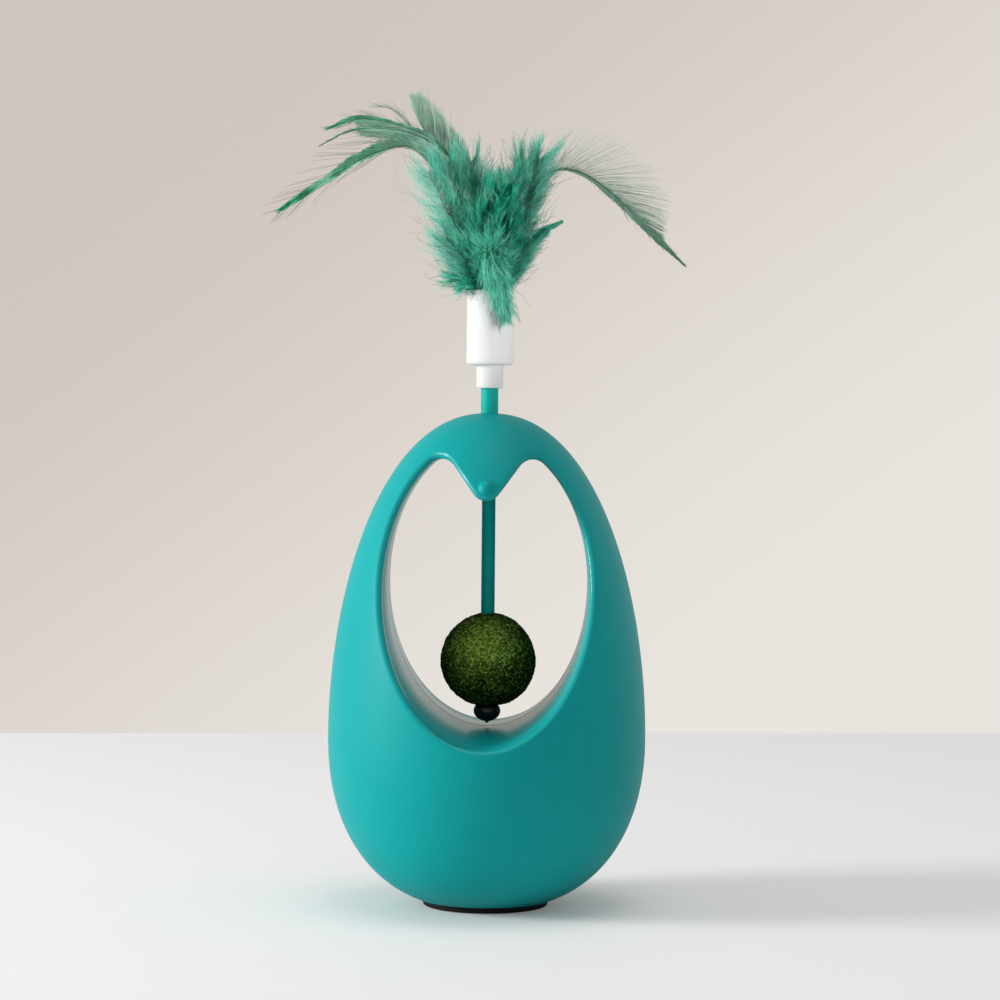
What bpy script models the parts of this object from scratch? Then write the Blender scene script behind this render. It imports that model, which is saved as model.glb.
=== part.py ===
"""Tumbler cat toy: a weighted egg with a window, a catnip ball hung in it and a feather top.

Metres, +Z up. The origin is the middle of the foot, on the surface that the toy stands on.
The front is -Y. The egg splits into a front and a rear shell at Y = 0.
"""

import math

import bmesh
import bpy
import numpy as np
from mathutils import Vector

OBJECT_NAME = "tumbler_cat_toy"

# General sizes
FIT_GAP = 0.0003
CUT_OVERRUN = 0.002
ROUND_STEPS = 24
FINE_STEPS = 16
MERGE_DISTANCE = 0.000005
SMOOTH_ANGLE = math.radians(35)

# Egg body
EGG_BELLY_RADIUS = 0.0419
EGG_BELLY_HEIGHT = 0.0447
EGG_UPPER_HEIGHT = 0.0854
EGG_UNDERRUN = 0.0008
EGG_UPPER_POWERS = (1.92, 2.23)
EGG_LOWER_POWERS = (2.18, 2.49)
EGG_STEPS = 56
EGG_UPPER_RINGS = 13
EGG_LOWER_RINGS = 8
SHELL_WALL = 0.0024
PARTING_GAP = 0.0003
CAVITY_RINGS = 10
WALL_SAMPLES = 400
CROWN_DEPTH = 0.022

# Window through the egg, and the drip that hangs into it
WINDOW_HALF_WIDTH = 0.0262
WINDOW_HALF_HEIGHT = 0.0378
WINDOW_CROWN_DROP = 0.0074
WINDOW_DRAFT = math.radians(3.3)
WINDOW_ARC_POINTS = 20
PIVOT_DROP = 0.0189
DRIP_NOSE_RADIUS = 0.0039
DRIP_FLANK_ANGLE = math.radians(36)
ARCH_RADIUS = 0.0040
ARCH_POINTS = 6
NOSE_POINTS = 4
SEARCH_STEPS = 40

# Foot
PAD_RADIUS = 0.0165
PAD_THICKNESS = 0.0014
PAD_EDGE = 0.0005
PAD_SPIGOT_RADIUS = 0.0050
PAD_SPIGOT_LENGTH = 0.0018

# Counterweight and the ribs that trap it
WEIGHT_RADIUS = 0.0215
WEIGHT_THICKNESS = 0.0090
WEIGHT_EDGE = 0.0006
WEIGHT_SEAT_HEIGHT = 0.0070
RIB_THICKNESS = 0.0016
RIB_SPACING = 0.0240
RIB_RISE = 0.0040

# Screws that close the shells, entered from the rear
SCREW_SHANK_RADIUS = 0.0012
SCREW_HEAD_RADIUS = 0.0024
SCREW_HEAD_THICKNESS = 0.0016
SCREW_LENGTH = 0.0160
SCREW_SEAT_DEPTH = 0.0090
SCREW_RECESS_RADIUS = 0.0010
SCREW_RECESS_DEPTH = 0.0008
UPPER_SCREW_RISE = 0.0089
LOWER_SCREW_INSET = 0.0219
LOWER_SCREW_HEIGHT = 0.0270
BOSS_WALL = 0.0012
SCREW_NAMES = ("screw_upper_left", "screw_upper_right", "screw_lower_left", "screw_lower_right")

# Pivot pin and its cap
PIN_RADIUS = 0.0012
PIN_HEAD_RADIUS = 0.0024
PIN_HEAD_SINK = 0.0012
PIN_CAP_WALL = 0.0009

# Pendulum: rod, ball and stop bead
ROD_RADIUS = 0.0018
EYE_RADIUS = 0.0026
EYE_THICKNESS = 0.0036
SWING_LIMIT = math.radians(4)
BALL_RADIUS = 0.0126
BALL_LUMP = 0.0005
BALL_BULGE_SHARES = (0.8, -0.3, -0.5)
BALL_BULGE_POWER = 3
BALL_FLAT_SHARES = (-0.6, -0.4, 0.7)
BALL_FLAT_POWER = 4
BALL_RINGS = 14
CORE_WALL = 0.0009
CORE_INSET = 0.0015
BEAD_RADIUS = 0.00355
BEAD_HALF_HEIGHT = 0.0024
BEAD_SINK = 0.0016
BEAD_WALL = 0.0010
BEAD_LIFT = 0.0018
BEAD_POINTS = 11
NIB_RADIUS = 0.0005
NIB_GAP = 0.0008

# Stem on the crown
STEM_RADIUS = 0.0023
STEM_RISE = 0.0168
STEM_FLANGE_RADIUS = 0.0038
STEM_FLANGE_THICKNESS = 0.0016
STEM_FLANGE_DEPTH = 0.0092

# Feather cup
CUP_LIFT = 0.0063
CUP_NECK_RADIUS = 0.0035
CUP_NECK_LENGTH = 0.0061
CUP_RADIUS = 0.0062
CUP_LENGTH = 0.0198
CUP_WALL = 0.0010
CUP_EDGE = 0.0008
CUP_WEB = 0.0018
PLUG_DEPTH = 0.0050

# Feathers: how far the bundle reaches sideways, in depth and above the cup's mouth
BUNDLE_REACH = 0.0580
BUNDLE_DEPTH = 0.0100
BUNDLE_RISE = 0.0510
QUILL_RADIUS = 0.00045
VANE_HALF_THICKNESS = 0.0004
PLUME_SIDES = 8
PLUME_RINGS = 11

# Heights that follow
CROWN_HEIGHT = EGG_BELLY_HEIGHT + EGG_UPPER_HEIGHT
EGG_LOWER_DEPTH = EGG_BELLY_HEIGHT + EGG_UNDERRUN
EGG_FLAT_HEIGHT = PAD_THICKNESS + FIT_GAP
CAVITY_FLOOR = EGG_FLAT_HEIGHT + SHELL_WALL
CAVITY_TOP = CROWN_HEIGHT - CROWN_DEPTH
CUT_REACH = EGG_BELLY_RADIUS + CUT_OVERRUN
WINDOW_CENTRE_HEIGHT = CROWN_HEIGHT - WINDOW_CROWN_DROP - WINDOW_HALF_HEIGHT
WINDOW_FLOOR = WINDOW_CENTRE_HEIGHT - WINDOW_HALF_HEIGHT
PIVOT_HEIGHT = CROWN_HEIGHT - PIVOT_DROP
UPPER_SCREW_HEIGHT = WINDOW_FLOOR + UPPER_SCREW_RISE
NIB_TIP = WINDOW_FLOOR + NIB_GAP
BEAD_CENTRE = WINDOW_FLOOR + BEAD_LIFT + BEAD_HALF_HEIGHT
BALL_BOTTOM = BEAD_CENTRE + BEAD_HALF_HEIGHT - BEAD_SINK
BALL_CENTRE_HEIGHT = BALL_BOTTOM + BALL_RADIUS
STEM_TOP = CROWN_HEIGHT + STEM_RISE
STEM_FOOT = CROWN_HEIGHT - STEM_FLANGE_DEPTH
CUP_FOOT = CROWN_HEIGHT + CUP_LIFT
CUP_SHOULDER = CUP_FOOT + CUP_NECK_LENGTH
CUP_MOUTH = CUP_SHOULDER + CUP_LENGTH
SOCKET_TOP = STEM_TOP + FIT_GAP
PLUG_TOP = CUP_MOUTH - PLUG_DEPTH
ROD_CORE_RADIUS = ROD_RADIUS + FIT_GAP
CORE_RADIUS = ROD_CORE_RADIUS + CORE_WALL
RIB_TOP = WEIGHT_SEAT_HEIGHT + WEIGHT_THICKNESS + RIB_RISE

# Colours, with roughness and metallic value
TEAL_SATIN = ((0.02, 0.38, 0.36), 0.45, 0.0)
TEAL_GLOSS = ((0.0, 0.13, 0.12), 0.3, 0.0)
BLACK_RUBBER = ((0.01, 0.012, 0.012), 0.8, 0.0)
GREY_STEEL = ((0.5, 0.5, 0.5), 0.4, 1.0)
CATNIP_GREEN = ((0.05, 0.09, 0.015), 0.95, 0.0)
BEAD_GREEN = ((0.0, 0.012, 0.009), 0.35, 0.0)
WHITE_PLASTIC = ((0.85, 0.85, 0.84), 0.35, 0.0)
RESIN_CLEAR = ((0.6, 0.58, 0.5), 0.4, 0.0)
FEATHER_GREEN = ((0.03, 0.25, 0.15), 0.8, 0.0)
DOWN_GREEN = ((0.02, 0.2, 0.13), 0.9, 0.0)


def clear_scene():
    for obj in list(bpy.data.objects):
        bpy.data.objects.remove(obj, do_unlink=True)


def new_collection(name):
    collection = bpy.data.collections.new(name)
    bpy.context.scene.collection.children.link(collection)
    return collection


def new_material(name, look):
    colour, roughness, metallic = look
    material = bpy.data.materials.new(name)
    material.use_nodes = True
    shader = material.node_tree.nodes["Principled BSDF"]
    shader.inputs["Base Color"].default_value = (*colour, 1.0)
    shader.inputs["Roughness"].default_value = roughness
    shader.inputs["Metallic"].default_value = metallic
    material.diffuse_color = (*colour, 1.0)
    return material


def add_part(name, mesh, look):
    """Put a mesh in the scene as a part with its own material."""
    obj = bpy.data.objects.new(name, mesh)
    mesh.materials.append(new_material(name, look))
    parts.objects.link(obj)
    return obj


def add_cutter(name, mesh):
    obj = bpy.data.objects.new(name, mesh)
    obj.hide_render = True
    obj.display_type = "WIRE"
    cutters.objects.link(obj)
    return obj


def boolean(target, other, operation):
    modifier = target.modifiers.new(other.name, "BOOLEAN")
    modifier.operation = operation
    modifier.object = other
    modifier.solver = "EXACT"


def cut(target, *others):
    for other in others:
        boolean(target, other, "DIFFERENCE")


def join(target, *others):
    for other in others:
        boolean(target, other, "UNION")


def profile_mesh(name, profile):
    """An open chain of (radius, height) points for a Screw modifier."""
    mesh = bpy.data.meshes.new(name)
    points = [(radius, 0, height) for radius, height in profile]
    mesh.from_pydata(points, [(i, i + 1) for i in range(len(points) - 1)], [])
    return mesh


def turn(obj, steps):
    """Turn the object's profile round its own Z axis."""
    screw = obj.modifiers.new("turned", "SCREW")
    screw.steps = steps
    screw.render_steps = steps
    screw.use_merge_vertices = True
    screw.merge_threshold = MERGE_DISTANCE
    screw.use_smooth_shade = True
    return obj


def turned_part(name, profile, look, steps=ROUND_STEPS):
    return turn(add_part(name, profile_mesh(name, profile), look), steps)


def turned_cutter(name, profile, steps=ROUND_STEPS):
    return turn(add_cutter(name, profile_mesh(name, profile)), steps)


def rod_profile(radius, low, high):
    return [(0, high), (radius, high), (radius, low), (0, low)]


def lay_along_y(obj, place):
    """Turn local +Z to the rear, and move the object's origin to its place."""
    obj.rotation_euler = (-math.pi / 2, 0, 0)
    obj.location = place
    return obj


def box_cutter(name, low, high):
    mesh = bpy.data.meshes.new(name)
    solid = bmesh.new()
    bmesh.ops.create_cube(solid, size=1)
    size = Vector(high) - Vector(low)
    bmesh.ops.scale(solid, vec=size, verts=solid.verts)
    bmesh.ops.translate(solid, vec=(Vector(high) + Vector(low)) / 2, verts=solid.verts)
    solid.to_mesh(mesh)
    solid.free()
    return add_cutter(name, mesh)


def smooth(mesh):
    mesh.shade_smooth()
    mesh.set_sharp_from_angle(angle=SMOOTH_ANGLE)


def lofted_mesh(name, rings):
    """Close a row of rings of equal count into one body, with a cap on each end."""
    solid = bmesh.new()
    loops = [[solid.verts.new(point) for point in ring] for ring in rings]
    count = len(loops[0])
    for near, far in zip(loops, loops[1:]):
        for i in range(count):
            after = (i + 1) % count
            solid.faces.new((near[i], near[after], far[after], far[i]))
    solid.faces.new(loops[0])
    solid.faces.new(loops[-1])
    bmesh.ops.recalc_face_normals(solid, faces=solid.faces)
    mesh = bpy.data.meshes.new(name)
    solid.to_mesh(mesh)
    solid.free()
    return mesh


def egg_radius(height):
    """The egg's radius at a height."""
    if height >= EGG_BELLY_HEIGHT:
        share = min(1, (height - EGG_BELLY_HEIGHT) / EGG_UPPER_HEIGHT)
        inner, outer = EGG_UPPER_POWERS
    else:
        share = min(1, (EGG_BELLY_HEIGHT - height) / EGG_LOWER_DEPTH)
        inner, outer = EGG_LOWER_POWERS
    return EGG_BELLY_RADIUS * (1 - share**inner) ** (1 / outer)


def egg_profile():
    """The egg from its crown down to the flat that the foot is fixed to."""
    quarter = math.pi / 2
    flat_share = (EGG_BELLY_HEIGHT - EGG_FLAT_HEIGHT) / EGG_LOWER_DEPTH
    upper = [EGG_UPPER_HEIGHT * math.sin(a) for a in np.linspace(quarter, 0, EGG_UPPER_RINGS)]
    turn_to = math.asin(flat_share)
    lower = [EGG_LOWER_DEPTH * math.sin(a) for a in np.linspace(0, turn_to, EGG_LOWER_RINGS)]
    heights = [EGG_BELLY_HEIGHT + rise for rise in upper]
    heights += [EGG_BELLY_HEIGHT - drop for drop in lower[1:]]
    profile = [(egg_radius(height), height) for height in heights]
    profile[0] = (0, CROWN_HEIGHT)
    return profile + [(0, EGG_FLAT_HEIGHT)]


def cavity_profile():
    """The hollow of the shells: the egg's outline moved in by the wall, cut flat at both ends."""
    heights = np.linspace(EGG_FLAT_HEIGHT / 2, CROWN_HEIGHT - SHELL_WALL / 2, WALL_SAMPLES)
    radii = np.array([egg_radius(height) for height in heights])
    slope = np.gradient(radii, heights)
    length = np.sqrt(1 + slope**2)
    inner_heights = heights + SHELL_WALL * slope / length
    inner_radii = radii - SHELL_WALL / length
    levels = np.linspace(CAVITY_TOP, CAVITY_FLOOR, CAVITY_RINGS)
    profile = [(float(np.interp(level, inner_heights, inner_radii)), float(level)) for level in levels]
    return [(0, CAVITY_TOP)] + profile + [(0, CAVITY_FLOOR)]


def ellipse_point(angle):
    """A point on the window's ellipse and its normal, which points into the egg."""
    point = Vector((WINDOW_HALF_WIDTH * math.cos(angle), WINDOW_HALF_HEIGHT * math.sin(angle)))
    normal = Vector((math.cos(angle) / WINDOW_HALF_WIDTH, math.sin(angle) / WINDOW_HALF_HEIGHT))
    return point + Vector((0, WINDOW_CENTRE_HEIGHT)), normal.normalized()


def arch_corner():
    """Where the arch meets the ellipse: the ellipse's angle there and the arch's centre."""
    flank_normal = Vector((math.cos(DRIP_FLANK_ANGLE), -math.sin(DRIP_FLANK_ANGLE)))
    pivot = Vector((0, PIVOT_HEIGHT))
    low, high = 0.0, math.pi / 2
    for _ in range(SEARCH_STEPS):
        angle = (low + high) / 2
        point, normal = ellipse_point(angle)
        centre = point - ARCH_RADIUS * normal
        if (centre - pivot).dot(flank_normal) > DRIP_NOSE_RADIUS + ARCH_RADIUS:
            low = angle
        else:
            high = angle
    return angle, centre


def window_outline():
    """Right half of the window's edge from the floor to the drip's nose.

    Each entry is a point, its normal into the material and its share of the draft. The drip
    is straight through, so the draft fades out along the arch beside it.
    """
    corner_angle, centre = arch_corner()
    outline = []
    for angle in np.linspace(-math.pi / 2, corner_angle, WINDOW_ARC_POINTS):
        point, normal = ellipse_point(angle)
        outline.append((point, normal, 1.0))
    start = math.atan2(normal.y, normal.x)
    end = math.pi - DRIP_FLANK_ANGLE
    for share in np.linspace(0, 1, ARCH_POINTS)[1:].tolist():
        angle = start + share * (end - start)
        normal = Vector((math.cos(angle), math.sin(angle)))
        outline.append((centre + ARCH_RADIUS * normal, normal, 1 - share))
    for angle in np.linspace(-DRIP_FLANK_ANGLE, -math.pi / 2, NOSE_POINTS):
        away = Vector((math.cos(angle), math.sin(angle)))
        outline.append((Vector((0, PIVOT_HEIGHT)) + DRIP_NOSE_RADIUS * away, -away, 0.0))
    return outline


def window_ring(outline, depth):
    """The window's whole edge at a depth, wider by the draft."""
    spread = math.tan(WINDOW_DRAFT) * abs(depth)
    half = [point + spread * share * normal for point, normal, share in outline]
    right = [(point.x, depth, point.y) for point in half]
    left = [(-point.x, depth, point.y) for point in reversed(half[1:-1])]
    return right + left


def window_cutter(name):
    outline = window_outline()
    rings = [window_ring(outline, depth) for depth in (-CUT_REACH, 0, CUT_REACH)]
    return add_cutter(name, lofted_mesh(name, rings))


def sleeve_cutter(name):
    """The window's ellipse grown by a wall: what the hollow leaves solid round the window."""
    rings = []
    for depth in (-CUT_REACH, 0, CUT_REACH):
        grow = SHELL_WALL + math.tan(WINDOW_DRAFT) * abs(depth)
        ring = []
        for angle in np.linspace(0, 2 * math.pi, 2 * WINDOW_ARC_POINTS, endpoint=False):
            point, normal = ellipse_point(angle)
            edge = point + grow * normal
            ring.append((edge.x, depth, edge.y))
        rings.append(ring)
    return add_cutter(name, lofted_mesh(name, rings))


def screw_places():
    """The upper screws stand midway between the window and the egg's side."""
    drop_share = (WINDOW_CENTRE_HEIGHT - UPPER_SCREW_HEIGHT) / WINDOW_HALF_HEIGHT
    window_side = WINDOW_HALF_WIDTH * math.sqrt(1 - drop_share**2)
    upper = (window_side + egg_radius(UPPER_SCREW_HEIGHT)) / 2
    lower = EGG_BELLY_RADIUS - LOWER_SCREW_INSET
    places = []
    for offset, height in ((upper, UPPER_SCREW_HEIGHT), (lower, LOWER_SCREW_HEIGHT)):
        places += [(-offset, height), (offset, height)]
    return places


def cavity_cutter():
    """The hollow inside the shells, less the ribs, screw bosses and the wall of the window."""
    cavity = turned_cutter("cavity", cavity_profile(), EGG_STEPS)
    cut(cavity, sleeve_cutter("window_sleeve"))
    for side in (-1, 1):
        middle = side * RIB_SPACING / 2
        low = (middle - RIB_THICKNESS / 2, -CUT_REACH, 0)
        high = (middle + RIB_THICKNESS / 2, CUT_REACH, RIB_TOP)
        cut(cavity, box_cutter(f"rib_{side}", low, high))
    boss_radius = SCREW_HEAD_RADIUS + FIT_GAP + BOSS_WALL
    for i, (x, z) in enumerate(screw_places()):
        boss = turned_cutter(f"boss_{i}", rod_profile(boss_radius, -CUT_REACH, CUT_REACH))
        cut(cavity, lay_along_y(boss, (x, 0, z)))
    return cavity


def weight_pocket():
    """Room for the counterweight between the ribs."""
    low = WEIGHT_SEAT_HEIGHT - FIT_GAP
    high = WEIGHT_SEAT_HEIGHT + WEIGHT_THICKNESS + FIT_GAP
    return turned_cutter("weight_pocket", rod_profile(WEIGHT_RADIUS + FIT_GAP, low, high), EGG_STEPS)


def foot_hole():
    profile = rod_profile(PAD_SPIGOT_RADIUS + FIT_GAP, -CUT_OVERRUN, CAVITY_FLOOR + CUT_OVERRUN)
    return turned_cutter("foot_hole", profile)


def stem_bore():
    """The crown's bore for the stem, with the pocket that traps the stem's flange."""
    bore = STEM_RADIUS + FIT_GAP
    pocket = STEM_FLANGE_RADIUS + FIT_GAP
    pocket_top = STEM_FOOT + STEM_FLANGE_THICKNESS + FIT_GAP
    top = CROWN_HEIGHT + CUT_OVERRUN
    bottom = STEM_FOOT - FIT_GAP
    profile = [(0, top), (bore, top), (bore, pocket_top)]
    profile += [(pocket, pocket_top), (pocket, bottom), (0, bottom)]
    return turned_cutter("stem_bore", profile)


def eye_slot():
    """The keyhole in the drip that the rod's eye hangs in, open below where the rod swings."""
    half_depth = EYE_THICKNESS / 2 + FIT_GAP
    radius = EYE_RADIUS + FIT_GAP
    drop = DRIP_NOSE_RADIUS + CUT_OVERRUN
    half_width = ROD_RADIUS / math.cos(SWING_LIMIT) + drop * math.tan(SWING_LIMIT) + FIT_GAP
    start = -math.acos(half_width / radius)
    arc = np.linspace(start, math.pi - start, FINE_STEPS)
    outline = [(half_width, -drop)]
    outline += [(radius * math.cos(a), radius * math.sin(a)) for a in arc]
    outline += [(-half_width, -drop)]
    rings = [[(x, y, PIVOT_HEIGHT + z) for x, z in outline] for y in (-half_depth, half_depth)]
    return add_cutter("eye_slot", lofted_mesh("eye_slot", rings))


def pin_head_depth():
    """How far the middle of a pin head lies in front of the parting plane."""
    return egg_radius(PIVOT_HEIGHT) - PIN_HEAD_SINK


def dome_arc(radius, shank, top):
    """A ball-shaped head from its pole down to where it meets the shank."""
    meet = math.acos(shank / radius)
    angles = np.linspace(math.pi / 2, -meet, FINE_STEPS // 2 + 1)
    arc = [(radius * math.cos(a), top + radius * math.sin(a)) for a in angles]
    arc[0] = (0, top + radius)
    return arc


def pin_bore():
    """The pin's bore and the round seats of its head and cap."""
    bore = PIN_RADIUS + FIT_GAP
    seat = PIN_HEAD_RADIUS + FIT_GAP
    centre = pin_head_depth()
    front = dome_arc(seat, bore, centre)
    rear = [(radius, -height) for radius, height in reversed(front)]
    return lay_along_y(turned_cutter("pin_bore", front + rear), (0, 0, PIVOT_HEIGHT))


def screw_hole(i, x, z):
    """A clearance hole with a counterbore from the rear, and a pilot hole in the front boss."""
    shank = SCREW_SHANK_RADIUS + FIT_GAP
    head = SCREW_HEAD_RADIUS + FIT_GAP
    tip = SCREW_SEAT_DEPTH - SCREW_LENGTH - FIT_GAP
    profile = [(0, CUT_REACH), (head, CUT_REACH), (head, SCREW_SEAT_DEPTH)]
    profile += [(shank, SCREW_SEAT_DEPTH), (shank, tip), (0, tip)]
    return lay_along_y(turned_cutter(f"screw_hole_{i}", profile, FINE_STEPS), (x, 0, z))


def make_shells():
    cavity = cavity_cutter()
    holes = [window_cutter("window"), weight_pocket(), foot_hole(), stem_bore()]
    holes += [eye_slot(), pin_bore()]
    holes += [screw_hole(i, x, z) for i, (x, z) in enumerate(screw_places())]
    top = CROWN_HEIGHT + CUT_OVERRUN
    edge = PARTING_GAP / 2
    rear_half = box_cutter("rear_half", (-CUT_REACH, -edge, -CUT_OVERRUN), (CUT_REACH, CUT_REACH, top))
    front_half = box_cutter("front_half", (-CUT_REACH, -CUT_REACH, -CUT_OVERRUN), (CUT_REACH, edge, top))
    for name, other_half in (("front_shell", rear_half), ("rear_shell", front_half)):
        shell = turned_part(name, egg_profile(), TEAL_SATIN, EGG_STEPS)
        shell.rotation_euler.z = math.pi / EGG_STEPS
        cut(shell, cavity, *holes, other_half)


def make_foot():
    """The rubber foot: a disc under the egg with a spigot that plugs into both shells."""
    spigot_top = PAD_THICKNESS + FIT_GAP + PAD_SPIGOT_LENGTH
    profile = [(0, spigot_top), (PAD_SPIGOT_RADIUS, spigot_top), (PAD_SPIGOT_RADIUS, PAD_THICKNESS)]
    profile += [(PAD_RADIUS, PAD_THICKNESS), (PAD_RADIUS, PAD_EDGE), (PAD_RADIUS - PAD_EDGE, 0), (0, 0)]
    turned_part("base_pad", profile, BLACK_RUBBER, 2 * ROUND_STEPS)


def make_counterweight():
    low = WEIGHT_SEAT_HEIGHT
    high = WEIGHT_SEAT_HEIGHT + WEIGHT_THICKNESS
    face = WEIGHT_RADIUS - WEIGHT_EDGE
    profile = [(0, high), (face, high), (WEIGHT_RADIUS, high - WEIGHT_EDGE)]
    profile += [(WEIGHT_RADIUS, low + WEIGHT_EDGE), (face, low), (0, low)]
    turned_part("counterweight", profile, GREY_STEEL, 2 * ROUND_STEPS)


def make_screws():
    """The four pan-head screws that close the shells."""
    seat = SCREW_SEAT_DEPTH + FIT_GAP
    head_top = seat + SCREW_HEAD_THICKNESS
    tip = SCREW_SEAT_DEPTH - SCREW_LENGTH
    profile = [(0, head_top - SCREW_RECESS_DEPTH), (SCREW_RECESS_RADIUS, head_top)]
    profile += [(SCREW_HEAD_RADIUS, head_top), (SCREW_HEAD_RADIUS, seat), (SCREW_SHANK_RADIUS, seat)]
    profile += [(SCREW_SHANK_RADIUS, tip + SCREW_SHANK_RADIUS), (0, tip)]
    for name, (x, z) in zip(SCREW_NAMES, screw_places()):
        lay_along_y(turned_part(name, profile, GREY_STEEL, FINE_STEPS), (x, 0, z))


def make_pin():
    """The pivot pin with its domed head in front, and the matching cap behind."""
    centre = pin_head_depth()
    blind_end = centre + PIN_HEAD_RADIUS - PIN_CAP_WALL
    end = blind_end - FIT_GAP
    pin = dome_arc(PIN_HEAD_RADIUS, PIN_RADIUS, centre) + [(PIN_RADIUS, -end), (0, -end)]
    front = turned_part("pivot_pin", pin, TEAL_SATIN, FINE_STEPS)
    front.rotation_euler = (math.pi / 2, 0, 0)
    front.location = (0, 0, PIVOT_HEIGHT)
    bore = PIN_RADIUS + FIT_GAP
    cap = dome_arc(PIN_HEAD_RADIUS, bore, centre) + [(bore, blind_end), (0, blind_end)]
    lay_along_y(turned_part("pin_cap", cap, TEAL_SATIN, FINE_STEPS), (0, 0, PIVOT_HEIGHT))


def make_rod():
    """The rod with its eye on the pin, a thin tail through the bead and the nib below it."""
    bead_floor = BEAD_CENTRE - BEAD_HALF_HEIGHT + BEAD_WALL
    foot = bead_floor + FIT_GAP - PIVOT_HEIGHT
    tip = NIB_TIP - PIVOT_HEIGHT
    profile = [(0, 0), (ROD_RADIUS, 0), (ROD_RADIUS, foot), (NIB_RADIUS, foot)]
    profile += [(NIB_RADIUS, tip + NIB_RADIUS), (0, tip)]
    rod = turned_part("swing_rod", profile, TEAL_GLOSS, FINE_STEPS)
    rod.location = (0, 0, PIVOT_HEIGHT)
    half = EYE_THICKNESS / 2
    eye = turned_cutter("rod_eye", rod_profile(EYE_RADIUS, -half, half))
    join(rod, lay_along_y(eye, (0, 0, PIVOT_HEIGHT)))
    reach = half + CUT_OVERRUN
    hole = turned_cutter("rod_eye_hole", rod_profile(PIN_RADIUS + FIT_GAP, -reach, reach), FINE_STEPS)
    cut(rod, lay_along_y(hole, (0, 0, PIVOT_HEIGHT)))


def bead_arc(grow):
    """The bead's outline from its top to its bottom, grown by a clearance."""
    angles = np.linspace(math.pi / 2, -math.pi / 2, BEAD_POINTS)
    width = BEAD_RADIUS + grow
    height = BEAD_HALF_HEIGHT + grow
    arc = [(width * math.cos(a), BEAD_CENTRE + height * math.sin(a)) for a in angles]
    return [(0, arc[0][1])] + arc[1:-1] + [(0, arc[-1][1])]


def make_bead():
    """The stop bead on the rod's end, with a step that the rod's foot stands on."""
    bead = turned_part("stop_bead", bead_arc(0), BEAD_GREEN)
    floor = BEAD_CENTRE - BEAD_HALF_HEIGHT + BEAD_WALL
    top = BEAD_CENTRE + BEAD_HALF_HEIGHT + CUT_OVERRUN
    bottom = BEAD_CENTRE - BEAD_HALF_HEIGHT - CUT_OVERRUN
    tail = NIB_RADIUS + FIT_GAP
    profile = [(0, top), (ROD_CORE_RADIUS, top), (ROD_CORE_RADIUS, floor), (tail, floor)]
    cut(bead, turned_cutter("bead_hole", profile + [(tail, bottom), (0, bottom)], FINE_STEPS))


def ball_swell(direction):
    """How far the hand-pressed ball stands out of a true sphere, from -1 to 1."""
    bulge = max(0, direction.dot(Vector(BALL_BULGE_SHARES).normalized())) ** BALL_BULGE_POWER
    flat = max(0, direction.dot(Vector(BALL_FLAT_SHARES).normalized())) ** BALL_FLAT_POWER
    return bulge - flat


def make_ball():
    """The pressed catnip ball on its core tube, with a hollow for the bead below."""
    solid = bmesh.new()
    bmesh.ops.create_uvsphere(solid, u_segments=ROUND_STEPS, v_segments=BALL_RINGS, radius=BALL_RADIUS)
    for vert in solid.verts:
        direction = vert.co.normalized()
        vert.co += direction * BALL_LUMP * ball_swell(direction)
    mesh = bpy.data.meshes.new("catnip_ball")
    solid.to_mesh(mesh)
    solid.free()
    smooth(mesh)
    ball = add_part("catnip_ball", mesh, CATNIP_GREEN)
    ball.location = (0, 0, BALL_CENTRE_HEIGHT)
    top = BALL_CENTRE_HEIGHT + BALL_RADIUS
    bead_top = BEAD_CENTRE + BEAD_HALF_HEIGHT
    hole = rod_profile(CORE_RADIUS + FIT_GAP, BALL_BOTTOM - CUT_OVERRUN, top + CUT_OVERRUN)
    cut(ball, turned_cutter("core_hole", hole, FINE_STEPS))
    cut(ball, turned_cutter("bead_hollow", bead_arc(FIT_GAP)))
    core_low = bead_top + FIT_GAP
    core_high = top - CORE_INSET
    tube = [(ROD_CORE_RADIUS, core_high), (CORE_RADIUS, core_high)]
    tube += [(CORE_RADIUS, core_low), (ROD_CORE_RADIUS, core_low), (ROD_CORE_RADIUS, core_high)]
    turned_part("ball_core", tube, RESIN_CLEAR, FINE_STEPS)


def make_stem():
    """The stem that turns in the crown on its flange."""
    flange_top = STEM_FOOT + STEM_FLANGE_THICKNESS
    profile = [(0, STEM_TOP), (STEM_RADIUS, STEM_TOP), (STEM_RADIUS, flange_top)]
    profile += [(STEM_FLANGE_RADIUS, flange_top), (STEM_FLANGE_RADIUS, STEM_FOOT), (0, STEM_FOOT)]
    turned_part("feather_stem", profile, TEAL_SATIN, FINE_STEPS)


def make_cup():
    """The stepped white cup: open on top for the quills, with a socket below for the stem."""
    inner = CUP_RADIUS - CUP_WALL
    web_top = SOCKET_TOP + CUP_WEB
    socket = STEM_RADIUS + FIT_GAP
    profile = [(0, web_top), (inner, web_top), (inner, CUP_MOUTH), (CUP_RADIUS, CUP_MOUTH)]
    profile += [(CUP_RADIUS, CUP_SHOULDER + CUP_EDGE), (CUP_RADIUS - CUP_EDGE, CUP_SHOULDER)]
    profile += [(CUP_NECK_RADIUS, CUP_SHOULDER), (CUP_NECK_RADIUS, CUP_FOOT)]
    profile += [(socket, CUP_FOOT), (socket, SOCKET_TOP), (0, SOCKET_TOP)]
    turned_part("feather_cup", profile, WHITE_PLASTIC, ROUND_STEPS)
    plug = rod_profile(inner - FIT_GAP, web_top + FIT_GAP, PLUG_TOP)
    turned_part("quill_plug", plug, RESIN_CLEAR, ROUND_STEPS)


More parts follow.
